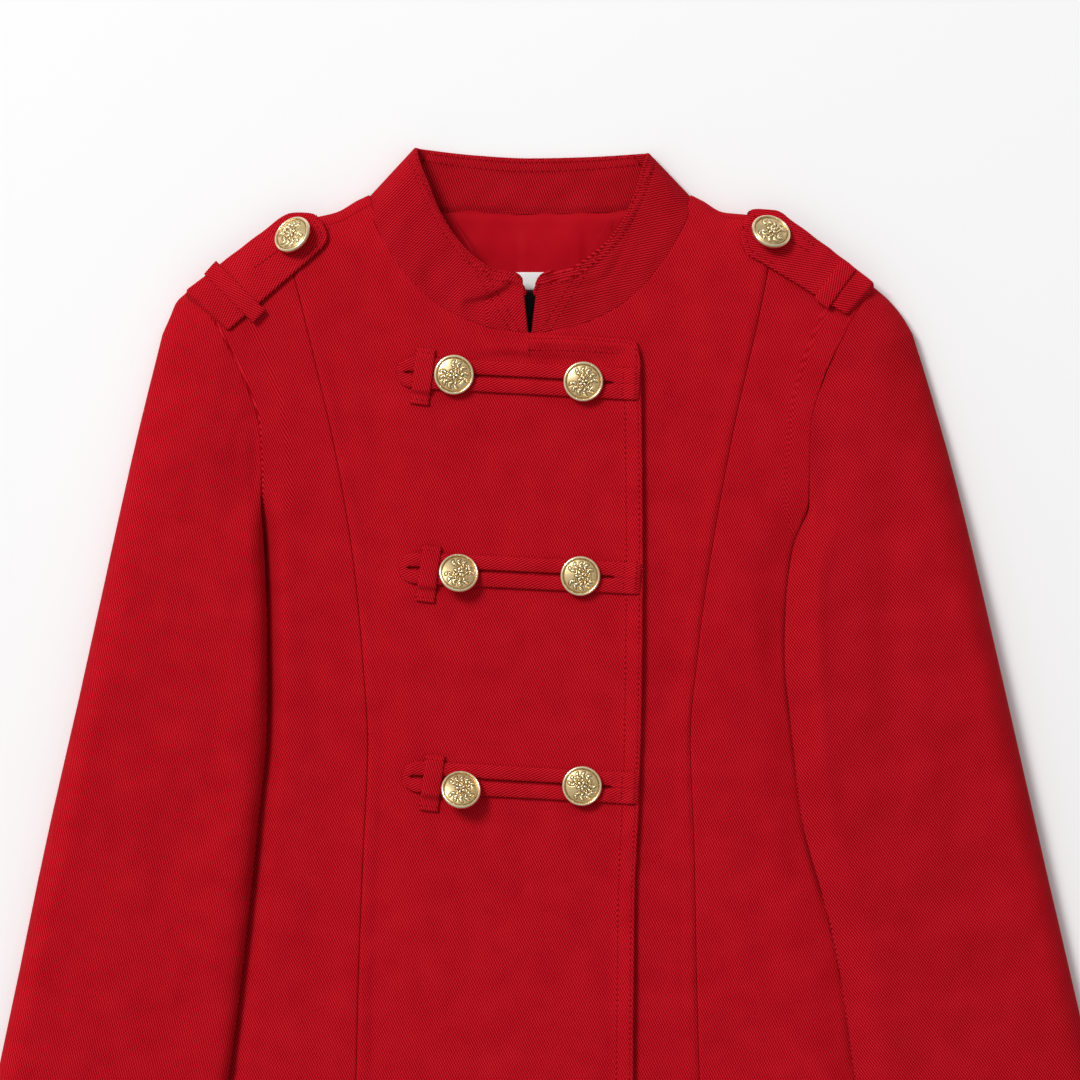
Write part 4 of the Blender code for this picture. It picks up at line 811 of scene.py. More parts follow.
def twill(name, degrees, strength, shade):
    """Red cotton twill whose lines rise at this angle from +X, read in the flat cloth, with painted light and shade in
    its colour.
    """
    n = Nodes(name)
    n.set(Roughness=0.85, Specular_IOR_Level=0.02, Sheen_Weight=0.10, Sheen_Roughness=0.45,
          Sheen_Tint=(1.0, 0.05, 0.08, 1.0))
    cloth = n.node("ShaderNodeUVMap", uv_map="cloth")["UV"]
    turned = n.node("ShaderNodeVectorRotate", {"Vector": cloth, "Angle": -math.radians(degrees)},
                    rotation_type="Z_AXIS")[0]
    along, across, _ = n.node("ShaderNodeSeparateXYZ", {0: turned})
    wander = n.math("MULTIPLY_ADD", n.noise(cloth, 500.0), 1.5, n.math("MULTIPLY", n.noise(cloth, 90.0), 2.0))
    line = n.math("SINE", n.math("MULTIPLY_ADD", across, 2 * math.pi / TWILL_PITCH, wander))
    yarn_phase = n.math("MULTIPLY_ADD", along, 2 * math.pi / YARN_PITCH, n.math("MULTIPLY", across, 2400.0))
    yarn = n.math("SINE", n.math("ADD", yarn_phase, n.math("MULTIPLY", n.noise(cloth, 300.0), 4.0)))
    # The lines' colour is painted light on the raised yarns and painted shade in the grooves between them, as strong as
    # `strength` makes it
    weave = n.math("MULTIPLY_ADD", yarn, 0.20 * strength, n.math("MULTIPLY_ADD", line, 0.55 * strength, 0.5))
    fuzz = n.noise(cloth, 1500.0, 4.0)
    patchy = n.noise(cloth, 60.0, 4.0)
    broad = n.noise(cloth, 14.0, 3.0)
    # fuzz, patchy and broad add the cloth's own uneven tone to the lines' painted light and shade
    tone = n.math("MULTIPLY_ADD", n.math("SUBTRACT", fuzz, 0.5), 0.9, weave)
    tone = n.math("MULTIPLY_ADD", n.math("SUBTRACT", patchy, 0.5), 0.36, tone)
    tone = n.math("MULTIPLY_ADD", n.math("SUBTRACT", broad, 0.5), 0.12, tone)
    # `shade` darkens every colour of a piece as painted shade, for pieces that lie more in shade than the body
    dark, main, bright = ([part * shade for part in colour] + [1.0] for colour in TWILL_COLOURS)
    low = n.mix(n.math("MULTIPLY", tone, 2.0), dark, main)
    colour = n.mix(n.math("MULTIPLY_ADD", tone, 2.0, -1.0), low, bright)
    n.link(colour, "Base Color")
    height = n.math("MULTIPLY_ADD", fuzz, 0.35, weave)
    bump = n.node("ShaderNodeBump", {"Height": height, "Distance": 0.00016, "Strength": 0.85})["Normal"]
    n.link(bump, "Normal")
    return n.material


def plain_weave(name, low, high, pitch=0.00045, specular=0.08):
    """A fine even cloth, such as a lining or a woven label."""
    n = Nodes(name)
    n.set(Roughness=0.55, Specular_IOR_Level=specular, Sheen_Weight=0.1, Sheen_Roughness=0.4, Sheen_Tint=high)
    cloth = n.node("ShaderNodeUVMap", uv_map="cloth")["UV"]
    x, y, _ = n.node("ShaderNodeSeparateXYZ", {0: cloth})
    waves = [n.math("SINE", n.math("MULTIPLY", axis, 2 * math.pi / pitch)) for axis in (x, y)]
    weave = n.math("MULTIPLY_ADD", n.math("MULTIPLY", *waves), 0.5, 0.5)
    patchy = n.noise(cloth, 80.0, 5.0)
    tone = n.math("MULTIPLY_ADD", weave, 0.35, n.math("MULTIPLY", patchy, 0.65))
    n.link(n.mix(tone, low, high), "Base Color")
    n.link(n.node("ShaderNodeBump", {"Height": tone, "Distance": 0.00008, "Strength": 0.5})["Normal"], "Normal")
    return n.material


def thread(name, low, high):
    """Sewing thread, read where it lies."""
    n = Nodes(name)
    n.set(Roughness=0.7, Specular_IOR_Level=0.05)
    place = n.node("ShaderNodeTexCoord")["Object"]
    n.link(n.mix(n.noise(place, 900.0, 3.0), low, high), "Base Color")
    n.link(n.node("ShaderNodeBump", {"Height": n.noise(place, 4000.0), "Distance": 0.00005, "Strength": 0.5})["Normal"],
           "Normal")
    return n.material


def gilt(name):
    """Pale gilt brass whose colour holds painted shade where the relief is low and painted highlight where it is high.
    """
    n = Nodes(name)
    n.set(Metallic=1.0)
    # The "relief" attribute is the share of painted light: low for painted shade beside the figure, high for painted
    # highlight on it and on the rim
    depth = n.node("ShaderNodeAttribute", attribute_name="relief")["Fac"]
    place = n.node("ShaderNodeTexCoord")["Object"]
    worn = n.noise(place, 700.0, 4.0)
    share = n.math("MULTIPLY_ADD", n.math("SUBTRACT", worn, 0.5), 0.5, depth)
    # From dark brown painted shade through gold to cream painted highlight
    low = n.mix(n.math("MULTIPLY", share, 2.0), (0.085, 0.042, 0.010, 1.0), (0.70, 0.49, 0.21, 1.0))
    n.link(n.mix(n.math("MULTIPLY_ADD", share, 2.0, -1.0), low, (0.96, 0.84, 0.58, 1.0)), "Base Color")
    n.link(n.node("ShaderNodeMapRange", {"Value": share, "To Min": 0.42, "To Max": 0.22})[0], "Roughness")
    n.link(n.node("ShaderNodeBump", {"Height": worn, "Distance": 0.00006, "Strength": 0.6})["Normal"], "Normal")
    return n.material


# Columns: the lines' angle, the strength of their painted light and shade, and the painted shade of the whole piece
TWILLS = {
    "body": (115, 0.80, 1.0), "collar_right": (44, 1.0, 0.90), "collar_left": (14, 1.0, 0.82),
    "collar_back": (110, 1.0, 0.90), "sleeve_right": (104, 0.75, 1.0), "sleeve_left": (128, 1.0, 0.95),
    "epaulette_right": (66, 1.0, 1.0), "epaulette_left": (170, 1.0, 1.0), "band_right": (155, 1.0, 1.0),
    "band_left": (80, 1.0, 1.0), "loop": (26, 1.0, 1.0), "keeper": (108, 1.0, 1.0),
}
FINISH = {
    **{name: twill(f"twill_{name}", *numbers) for name, numbers in TWILLS.items()},
    "lining": plain_weave("lining_cloth", (0.35, 0.0012, 0.006, 1.0), (0.47, 0.0040, 0.012, 1.0), specular=0.03),
    "white": plain_weave("label_white", (0.70, 0.70, 0.69, 1.0), (0.84, 0.84, 0.83, 1.0)),
    "black": plain_weave("label_black", (0.006, 0.006, 0.007, 1.0), (0.020, 0.020, 0.022, 1.0)),
    "thread": thread("red_thread", (0.38, 0.0020, 0.008, 1.0), (0.52, 0.0060, 0.014, 1.0)),
    # Needle holes in painted shade: dark red spindles sunk below the thread, for the shade in the cloth's dimples
    "painted_hole_shade": thread("stitch_holes_painted_shade", (0.10, 0.0006, 0.002, 1.0), (0.17, 0.001, 0.004, 1.0)),
    "gold": gilt("gilt_brass"),
}


# Body ------------------------------------------------------------------------------------------------------
BODY_DOWNS = ARMHOLE_ROWS + SIDE_ROWS
SEAM_SHARES = [0.0, 0.02, 0.08, 0.30, 0.50, 0.75, 1.0]
NECK_SHARES = [0.0, 0.3, 0.6, 0.85, 1.0]
LAST_SEAM = len(SEAM_SHARES) - 1
LAST_AT_NECK = 59  # of the 60 points along the shoulder's line, the one beside the collar


def shoulder_points(side, inset):
    """Points of the shoulder's line, this far inside it, from the sleeve to the collar."""
    line = spline(flipped(SHOULDER[side][::-1]), np.linspace(0, 1, 60))
    split = np.abs(line[:, 0] - PRINCESS[side][0][0]).argmin()
    way = unit(np.gradient(line, axis=0))
    line = line + np.column_stack([way[:, 1], -way[:, 0]]) * -side * inset
    outer = spline(line[np.linspace(0, split, 9).astype(int)], SEAM_SHARES)
    inner = spline(line[np.linspace(split, LAST_AT_NECK, 7).astype(int)], NECK_SHARES)
    return np.vstack([outer, inner[1:]])


def neck_points(side):
    """The seam with the collar, from the shoulder to the middle."""
    rows = [row for row in COLLAR[side] if row[2] is None]
    return np.array([row[:2] for row in rows[::-1]])


def princess_points(side):
    """The princess seam's points at the body's rows."""
    top = -shoulder_points(side, SHOULDER_SEAM[side])[LAST_SEAM][1]
    line = at_downs([(PRINCESS[side][0][0], top)] + PRINCESS[side][1:], stretched(BODY_DOWNS, top, HEM))
    line[0] = shoulder_points(side, SHOULDER_SEAM[side])[LAST_SEAM]
    return line


def front_side(side):
    """From the armhole and the side to the princess seam."""
    seen = at_downs(ARMHOLE[side], ARMHOLE_ROWS[:SEEN_ROWS])
    end = spline(flipped(mirrored(FRONT_ARMHOLE_END, side)), np.linspace(0, 1, 5))
    outer = np.vstack([seen, end[1:-1], at_downs(mirrored(SIDE, side), SIDE_ROWS)])
    inner = princess_points(side)
    seam = shoulder_points(side, SHOULDER_SEAM[side])[: LAST_SEAM + 1]
    outer[0] = seam[0]
    across = []
    for (x0, y0), (x1, _) in zip(np.abs(outer), np.abs(inner)):
        tuck = float(inner_fold_x(side, y0))
        spots = np.array([x0, x0 - 0.001, x0 - SIDE_ROUND, tuck + 0.004, tuck - 0.010, tuck - 0.028, x1])
        shift = ease((y0 - 0.168) / 0.045)
        across.append(np.array(SEAM_SHARES) * (1 - shift) + (x0 - spots) / (x0 - x1) * shift)
    plan = refined(net(outer, inner, np.array(across), top=seam))
    points, outward = laid(plan, lambda x, y: front_on_side(side, x, y) + front_relief(side, x, y))
    folded = -points[:, 0, 1] > UNDERARM
    level_at(points, outward, np.s_[folded, 0], np.s_[folded, 1])
    draw_in(points, np.s_[:, -1], np.s_[:, -2], VISIBLE_GAP)
    draw_in(points, np.s_[0], np.s_[1], VISIBLE_GAP)
    name = f"front_side_{SIDE_NAMES[side]}"
    wall(name, [(points, outward, (SEAM, 1, 0, SEAM))], CLOTH, FINISH["body"], sheet=["back"])


def front_centre(side):
    """From the princess seam to the front edge."""
    edge, flap = (FRONT_EDGE, FLAP_TOP) if side < 0 else (HIDDEN_EDGE, HIDDEN_TOP)
    seam = shoulder_points(side, SHOULDER_SEAM[side])[LAST_SEAM:]
    inner = at_downs(edge, stretched(BODY_DOWNS, edge[0][1], HEM))
    top = np.vstack([seam, neck_points(side), flipped(flap), inner[:1]])
    hem_shares = [0, 0.04, 0.10, 0.16, 0.21, 0.26, 0.32, 0.39, 0.47, 0.55, 0.64, 0.72, 0.80, 0.88, 0.95, 1.0]
    shares = np.interp(np.linspace(0, 1, len(top)), np.linspace(0, 1, 16), hem_shares)
    plan = refined(net(princess_points(side), inner, shares, top=top, fade=4))
    points, outward = laid(plan, centre_height(side))
    draw_in(points, np.s_[:, 0], np.s_[:, 1], VISIBLE_GAP)
    name = f"front_centre_{SIDE_NAMES[side]}"
    below = ["front_centre_left"] if side < 0 else ["back"]
    wall(name, [(points, outward, (SEAM, 1, SEAM, 1))], CLOTH, FINISH["body"], sheet=below)


def shoulder_wrap(side):
    """The back's part from below round the shoulder to the seam on top, and its outward ways."""
    rows, ways = [], []
    for angle in (90, 55, 25, 8):
        turn = math.radians(angle)
        plan = shoulder_points(side, FOLD_Z * (1 - math.cos(turn)))
        way = unit(shoulder_points(side, 0.0) - shoulder_points(side, 0.001))
        rows.append(np.column_stack([plan, np.full(len(plan), FOLD_Z * (1 - math.sin(turn)))]))
        ways.append(np.column_stack([way * math.cos(turn), np.full(len(plan), -math.sin(turn))]))
    rows.append(np.column_stack([shoulder_points(side, 0.0), np.full(len(plan), FOLD_Z + 0.0010)]))
    ways.append(np.column_stack([way, np.zeros(len(plan))]))
    for share in (0.35, 1.0):
        plan = shoulder_points(side, share * SHOULDER_SEAM[side])
        points, outward = laid(plan[None].repeat(2, axis=0) + [[[0, 0]], [[0, 0.0005]]],
                               lambda x, y: front_on_side(side, x, y))
        rows.append(points[0])
        ways.append(outward[0])
    rows = np.array(rows)
    draw_in(rows, np.s_[-1], np.s_[-2], VISIBLE_GAP)
    draw_in(rows, np.s_[:, 0], np.s_[:, 1], SEAM_GAP / 2)
    return rows[::-1], np.array(ways)[::-1]


def back():
    """Flat below, with its shoulders wrapped round to the seams on top."""
    wraps = {side: shoulder_wrap(side) for side in (-1, 1)}
    seam = np.array([row[:2] for row in COLLAR[-1][-4:] + COLLAR[1][-2:-5:-1]]) - [0, SEAM_GAP]
    top = np.vstack([wraps[-1][0][-1, :, :2], seam, wraps[1][0][-1, ::-1, :2]])
    sides = {}
    for side in (-1, 1):
        armhole = at_downs([ARMHOLE[side][0]] + mirrored(BACK_ARMHOLE, side), ARMHOLE_ROWS)
        sides[side] = np.vstack([armhole, at_downs(mirrored(SIDE, side), SIDE_ROWS)])
        sides[side][0] = top[0] if side < 0 else top[-1]
    plan = net(sides[-1], sides[1], shares_of(top), top=top, fade=3)
    plan = refined_both(plan, BACK_TIMES, BACK_TIMES)
    points, outward = laid(plan, back_height, facing=-1)
    outward[..., 2] = -np.abs(outward[..., 2])  # the net folds over a little beside the neck
    for edge, beside_it in ((0, 1), (-1, -2)):
        turning = ease((-points[:, edge, 1] - UNDERARM + 0.008) / 0.025)
        level_at(points, outward, np.s_[:, edge], np.s_[:, beside_it], weight=turning)
        points[:, edge, 2] -= VISIBLE_GAP * turning
    width = len(SEAM_SHARES) + len(NECK_SHARES) - 1
    fine = slice(0, (width - 1) * BACK_TIMES + 1)
    nets = []
    for side in (-1, 1):
        rows, ways = (refined_both(values, WRAP_TIMES, BACK_TIMES) for values in wraps[side])
        nets.append((rows, unit(ways), (SEAM, 0, 0, 0)))
    points[0, fine], points[0, -fine.stop:] = nets[0][0][-1], nets[1][0][-1, ::-1]
    wall("back", [(points, outward, (0, 1, 0, 0))] + nets, CLOTH, FINISH["body"], sheet=[])


def refined_both(values, rows, columns):
    """A net with every interval of its rows and of its columns cut into this many."""
    values = between(values, np.arange((len(values) - 1) * rows + 1) / rows)
    turned = np.swapaxes(values, 0, 1)
    return np.swapaxes(between(turned, np.arange((len(turned) - 1) * columns + 1) / columns), 0, 1)


# Sleeves ---------------------------------------------------------------------------------------------------
TOP_ACROSS = [0.0, 0.004, 0.030, 0.080, 0.17, 0.35, 0.60, 0.82, 0.93, 0.985, 1.0]
CUT_ACROSS = [0.0, 0.005, 0.020, 0.060, 0.20, 0.35, 0.50, 0.65, 0.80, 0.92, 1.0]


def cuff_row(side):
    return INNER_FOLD[side][-1][1]


def sleeve_top(side):
    """From the outer fold to the armhole and the inner fold."""
    inner = np.vstack([at_downs(ARMHOLE[side], ARMHOLE_ROWS[:SEEN_ROWS]),
                       at_downs(INNER_FOLD[side], [0.190] + SLEEVE_ROWS + [cuff_row(side)])])
    start, end = OUTER_FOLD[side][0][1], OUTER_FOLD[side][-1][1]
    outer = at_downs(OUTER_FOLD[side], start + shares_of(inner) * (end - start))
    corner = spline(flipped(CORNER[side][::-1]), TOP_ACROSS)
    plan = refined(net(outer, inner, np.array(TOP_ACROSS), top=corner))
    points, outward = laid(plan, lambda x, y: sleeve_top_height(side, x, y) + sleeve_relief(side, x, y))
    level_at_silhouette(side, points, outward)
    level_at(points, outward, np.s_[:, -1], np.s_[:, -2], weight=fold_start(-points[:, -1, 1]))
    draw_in(points, np.s_[:, -1], np.s_[:, -2], VISIBLE_GAP)
    at_edge = SEAM if side < 0 else SEAM / 3
    wall(f"sleeve_top_{SIDE_NAMES[side]}", [(points, outward, (0, 1, 0, at_edge))], CLOTH,
         FINISH[f"sleeve_{SIDE_NAMES[side]}"], sheet=[f"sleeve_under_{SIDE_NAMES[side]}"])


def sleeve_under(side):
    """The sleeve's lower half, which lies on the body's side and on the floor."""
    armhole = at_downs([ARMHOLE[side][0]] + mirrored(BACK_ARMHOLE, side), ARMHOLE_ROWS[:9])
    turn = np.array([(0.1830 * side, -0.2085), (0.1670 * side, -0.2145), (0.1530 * side, -0.2190)])
    fold = at_downs(INNER_FOLD[side], SLEEVE_ROWS + [cuff_row(side)])
    inner = np.vstack([armhole, turn, fold])
    start, end = OUTER_FOLD[side][0][1], OUTER_FOLD[side][-1][1]
    shares = (inner[:, 1] - inner[0, 1]) / (inner[-1, 1] - inner[0, 1])
    shares[len(armhole) - 1: len(armhole) + 4] = np.linspace(0.262, 0.315, 5)
    outer = at_downs(OUTER_FOLD[side], start + shares * (end - start))
    across = np.tile(CUT_ACROSS, (len(inner), 1))
    for row in range(len(armhole), len(inner)):
        x0, x1 = abs(outer[row, 0]), abs(inner[row, 0])
        edge = float(side_x(np.clip(-inner[row, 1], UNDERARM, HEM)))
        spots = np.array([x0, x0 - 0.0005, x0 - 0.002, x0 - 0.006, edge + 0.019, edge + 0.012,
                          edge + 0.005, max(edge - 0.010, x1 + 0.009), x1 + 0.0055, x1 + 0.0012, x1])
        across[row] = np.minimum((x0 - spots) / (x0 - x1), [0.1, 0.2, 0.3, 0.4, 0.6, 0.75, 0.9, 0.93, 0.96, 0.99, 1])
    corner = spline(flipped(CORNER[side][::-1]), CUT_ACROSS)
    plan = refined_both(net(outer, inner, across, top=corner), UNDER_TIMES, UNDER_TIMES)
    points, outward = laid(plan, lambda x, y: sleeve_under_height(side, x, y), facing=-1)
    level_at_silhouette(side, points, outward)
    folded = slice((len(armhole) + len(turn)) * UNDER_TIMES, None)
    level_at(points, outward, np.s_[folded, -1], np.s_[folded, -2])
    points[:, 0, 2] -= VISIBLE_GAP
    points[0, :, 2] -= VISIBLE_GAP
    points[folded, -1, 2] -= VISIBLE_GAP
    wall(f"sleeve_under_{SIDE_NAMES[side]}", [(points, outward, (0, 1, 0, 0))], CLOTH,
         FINISH[f"sleeve_{SIDE_NAMES[side]}"], sheet=[f"front_side_{SIDE_NAMES[side]}"])


# Collar, lining and labels ---------------------------------------------------------------------------------
FLAT_FROM, FLAT_TO = 12, 17  # the collar's columns that lie flat at the back of the neck


def lengths_down(points):
    """How far each point of a net lies from its first row."""
    return np.cumsum(np.insert(np.linalg.norm(np.diff(points, axis=0), axis=-1), 0, 0, axis=0), axis=0)


def collar_net():
    """Rows from the top edge to the seam, columns once round the neck from the right front."""
    ends = []
    for side in (-1, 1):
        height = centre_height(side)
        ends.append([(x, y, float(height(np.array([x]), np.array([y]))[0]) if z is None else z, *edge)
                     for x, y, z, *edge in COLLAR[side]])
    rows = np.array(ends[0] + ends[1][-2::-1])
    seam, edge = rows[:, :3], rows[:, 3:]
    seam = seam + unit(edge - seam) * (VISIBLE_GAP + 0.0001)
    return np.array([edge, edge * 0.5 + seam * 0.5, seam])


def collar():
    """The stand collar, and its inner face at the back of the neck."""
    coarse = collar_net()
    points = refined(coarse, COLLAR_CELL)
    outward = outward_of(points)
    x, y = points[..., 0], points[..., 1]
    front = ease((points[..., 2] - 0.010) / 0.004)
    height = creases(COLLAR_CREASES, x, y) + folds(COLLAR_FOLDS, x, y)
    length = lengths_down(points)
    at_front = (np.abs(x) < 0.016) * (y < -0.040)
    for row in COLLAR_ROWS:
        height = height + groove(length - row, 0.0009, 0.00032)
        height = height + groove(np.abs(x) - 0.0040 - row, 0.0009, 0.00025) * at_front
    height = height + 0.00050 * ease((0.0072 - length) / 0.0020) * (1 + 0.5 * ripple(length, x + y, 0.010, 62))
    height = height + 0.00026 * ripple(x, y, 0.016, 61)
    points = points + outward * (height * front)[..., None]
    outward = outward_of(points)
    below = points[-1:] + (points[-1:] - points[-2:-1]) * (TURN_IN / np.linalg.norm(
        points[-1:] - points[-2:-1], axis=-1, keepdims=True))
    below[..., 2] -= (CLOTH + 0.0004) * front[-1:]
    points, outward = np.concatenate([points, below]), np.concatenate([outward, outward[-1:]])
    made = wall("collar", [(points, outward, (0.8, 0.5, 1, 1))], COLLAR_CLOTH, FINISH["collar_right"],
                sheet=["front_centre_right", "front_centre_left"])
    made.data.materials.append(FINISH["collar_left"])
    for face in made.data.polygons:
        face.material_index = int(face.center.x > 0)
    inner = coarse[:, FLAT_FROM:FLAT_TO, :2]
    inner = np.stack([inner[0] * 0.97 + inner[2] * 0.03, inner[1], inner[2]])
    plan = refined(inner, FACING_CELL)
    points = raised(plan, np.full(plan.shape[:2], COLLAR_CLOTH + SEAM_GAP + THIN))
    points[..., 2] += 0.00030 * ripple(*xy(plan), 0.018, 71)
    length = lengths_down(points)
    for row in COLLAR_ROWS:
        points[..., 2] += groove(length - row - FACING_EDGE, 0.0009, 0.00030)
    points[..., 2] += 0.00035 * ease((0.0080 - length) / 0.0020)
    points[..., 2] -= 0.0012 * ease((length - length[-1:] + 0.0045) / 0.0045)
    wall("collar_facing", [(points, outward_of(points), (1, SEAM, 1, 1))], THIN, FINISH["collar_back"],
         sheet=["collar"])


def lining_and_labels():
    """The lining that the neck shows, with its pleat, and the two labels on it."""
    seam = collar_net()[2, FLAT_FROM:FLAT_TO, :2] + [0, TURN_IN]
    x = np.linspace(-LINING_HALF, LINING_HALF, 9)
    top = np.column_stack([x, np.interp(x, seam[:, 0], seam[:, 1])])
    bottom = np.column_stack([x, np.full(9, -LINING_BOTTOM)])
    plan = refined(np.stack([top, top * 0.5 + bottom * 0.5, bottom]), LINING_CELL)
    x, y = xy(plan)
    height = CLOTH + SEAM_GAP + THIN + 0.0004 * ripple(x, y, 0.026, 81)
    pleat = 0.0011 * (ease((x + 0.0060) / 0.0012) - ease((x - 0.0270) / 0.0030))
    height = height + pleat * ease((-0.010 - y) / 0.02)
    height = height - 0.0009 * ease((y - y[:1] + TURN_IN + 0.004) / 0.004)
    points = raised(plan, height)
    wall("back_lining", [(points, outward_of(points), (SEAM, 1, 1, 1))], THIN, FINISH["lining"], ["back"])
    for name, (half, top, bottom), finish, slot in (
            ("neck_label_upper", UPPER_LABEL, "white", "white_label"),
            ("neck_label_lower", LOWER_LABEL, "black", "black_label")):
        plan = np.array([[(-half, -top), (0, -top), (half, -top)], [(-half, -bottom), (0, -bottom), (half, -bottom)]])
        plan = refined(plan, LABEL_CELL)
        points, _ = surface(["back_lining"], plan)
        points[..., 2] += 0.0002 + THIN + 0.0002 * ripple(*xy(plan), 0.02, 90)
        wall(name, [(points, outward_of(points), (1, 1, 1, 1))], THIN, FINISH[finish], ["back_lining"])


# Fastenings ------------------------------------------------------------------------------------------------
EPAULETTE_CORNERS = (0.012, 0.005, 0.0040)  # how far back its corners are cut
SEAM_DIP, SEAM_DIP_LENGTH = 0.0042, 0.0032  # how it sinks into the sleeve's seam
LOOP_TIP = 0.0100  # how long a loop's round tip is
LOOP_ON = 0.0007  # how much closer to the front's edge a loop ends than its solid
SLIT_MOST = 0.0009
LOOP_BARS = (0.0026, 0.0094)  # rows of stitches across a loop, from its end
KEEPER_ROW = 0.0030  # from a keeper's end
BUTTON_HEIGHT, BUTTON_RADIUS = 0.0046, 0.0111
BUTTON_SINK = 0.0012  # how far a button sinks into the cloth
# Buttons that hang a little further over than their solids: degrees off upright, and towards which way
BUTTON_LEANS = {"button_epaulette_right": (43, 136), "button_inner_2": (20, 68), "button_inner_3": (24, 76)}
BUTTON_STEPS = 160
BRANCH_LEAVES = 5  # pairs of leaves on each of the two branches


def band(r, start, end, soft=0.0003):
    return ease((r - start) / soft) * ease((end - r) / soft)


def bump(x, y, middle_x, middle_y, long, short, turn):
    """A smooth oval hump from 1 at its middle to 0 at its rim."""
    u = (x - middle_x) * np.cos(turn) + (y - middle_y) * np.sin(turn)
    v = (y - middle_y) * np.cos(turn) - (x - middle_x) * np.sin(turn)
    return np.sqrt(np.clip(1 - (u / long) ** 2 - (v / short) ** 2, 0, 1))


def button_relief(x, y):
    """How high the figure stands, from 0 to 1: a five-petalled flower between two leafy branches, with a bead
    at every quarter."""
    r, angle = np.hypot(x, y), np.arctan2(y, x)
    petals = [bump(x, y, 0.0019 * np.cos(a), 0.0019 * np.sin(a), 0.0013, 0.0009, a)
              for a in np.radians(90 + 72 * np.arange(5))]
    parts = [0.95 * np.maximum.reduce(petals), bump(x, y, 0, 0, 0.0008, 0.0008, 0)]
    for side in (-1, 1):
        for number in range(BRANCH_LEAVES):
            a = math.radians(-62 + 29 * number)
            for reach, slant in ((0.0049, 0.75), (0.0070, -0.75)):
                place = reach * math.cos(a) * side, reach * math.sin(a)
                parts.append(0.8 * bump(x, y, *place, 0.0015, 0.00075, math.atan2(place[1], place[0]) + side * slant))
    stem = band(r, 0.0057, 0.0062, 0.0002) * (np.abs(np.sin(angle / 2 - np.pi / 4)) > 0.28) * 0.4
    beads = [0.7 * bump(x, y, 0.0036 * np.cos(a), 0.0036 * np.sin(a), 0.0004, 0.0004, 0)
             for a in np.radians(54 + 72 * np.arange(5))]
    return np.maximum.reduce(parts + beads + [stem])


def button_face(r, angle):
    """Height of a button's face in metres, and the share of painted light on its gilding: painted shade beside the
    figure and in the groove inside the rim, painted highlight on the figure and the rim.
    """
    x, y = r * np.cos(angle), r * np.sin(angle)
    relief = button_relief(x, y)
    shade = 0 * r
    for step in np.radians(np.arange(0, 360, 45)):
        shade = np.maximum(shade, button_relief(x + 0.00035 * np.cos(step), y + 0.00035 * np.sin(step)))
    crevice = np.clip(shade * 1.3 - relief * 1.5, 0, 1) * band(r, -1, 0.0086)
    rim = np.clip(1 - ((r - 0.0103) / 0.0008) ** 2, 0, 1) ** 0.5
    gap = np.exp(-(((r - 0.0092) / 0.00028) ** 2))
    height = 0.0026 + 0.0013 * (1 - (r / 0.0095) ** 2) + 0.00090 * relief - 0.00025 * crevice
    painted_light_share = 0.63 + 0.37 * relief - 0.75 * crevice - 0.45 * gap + 0.3 * rim
    return height - 0.0003 * gap + 0.0009 * rim, np.clip(painted_light_share, 0, 1)


def button(name, turned):
    """A detailed button in its solid's place, whose axis is the way in which that solid is thinnest."""
    solid = np.array([v.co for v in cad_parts[name].data.vertices])
    solid = np.unique(np.round(solid, 6), axis=0)
    middle = solid.mean(0)
    up = np.linalg.svd(solid - middle)[2][2]
    up = Vector(up * np.sign(up[2]))
    top = float(((solid - middle) @ np.array(up)).max())
    if name in BUTTON_LEANS:
        lean, way = (math.radians(degrees) for degrees in BUTTON_LEANS[name])
        up = Vector((math.sin(lean) * math.cos(way), math.sin(lean) * math.sin(way), math.cos(lean)))
    base = Vector(middle) + up * (top - BUTTON_HEIGHT - BUTTON_SINK)
    angle = np.linspace(0, 2 * np.pi, BUTTON_STEPS, endpoint=False)
    radii = np.concatenate([np.linspace(0.00015, 0.0089, 56), np.linspace(0.0090, BUTTON_RADIUS, 14)])
    r, a = np.meshgrid(radii, angle, indexing="ij")
    z, relief = button_face(r, a)
    lower = np.array([(BUTTON_RADIUS, 0.0016), (0.0108, 0.0008), (0.0098, 0.0003), (0.0040, 0.0), (0.0017, 0.0),
                      (0.0017, -0.0010)])  # radius and height under the rim, down to the shank
    r = np.vstack([r, np.repeat(lower[:, :1], BUTTON_STEPS, axis=1)])
    z = np.vstack([z, np.repeat(lower[:, 1:], BUTTON_STEPS, axis=1)])
    relief = np.vstack([relief, np.full((len(lower), BUTTON_STEPS), 0.7)])
    a = np.vstack([a, np.tile(angle, (len(lower), 1))])
    places = np.stack([r * np.cos(a), r * np.sin(a), z], axis=-1).reshape(-1, 3)
    ids = np.arange(r.size).reshape(r.shape)
    beside_it = np.roll(ids, -1, axis=1)
    quads = np.stack([ids[:-1], ids[1:], beside_it[1:], beside_it[:-1]], axis=-1).reshape(-1, 4).tolist()
    faces = quads + [ids[0].tolist(), ids[-1, ::-1].tolist()]
    turn = Vector((0, 0, 1)).rotation_difference(up).to_matrix() @ Matrix.Rotation(math.radians(turned), 3, "Z")
    mesh = bpy.data.meshes.new(name)
    mesh.from_pydata((places @ np.array(turn).T + np.array(base - PLACE)).tolist(), [], faces)
    # The attribute holds the share of painted light and shade on the gilding, even on the underside
    values = mesh.attributes.new("relief", "FLOAT", "POINT")
    values.data.foreach_set("value", relief.astype(np.float32).ravel())
    add_piece(f"{name}_gilt", mesh, FINISH["gold"], [name])


def along_axis(start, end):
    """The length between two points, the way from one to the other, and the way across it."""
    step = np.subtract(end, start)
    length = np.linalg.norm(step)
    way = step / length
    return length, way, np.array([-way[1], way[0]])


def spots_across(count, near_edges):
    """From -1 to 1, with more spots near both edges."""
    return np.sort(np.concatenate([np.linspace(-1, 1, count), near_edges, np.negative(near_edges)]))


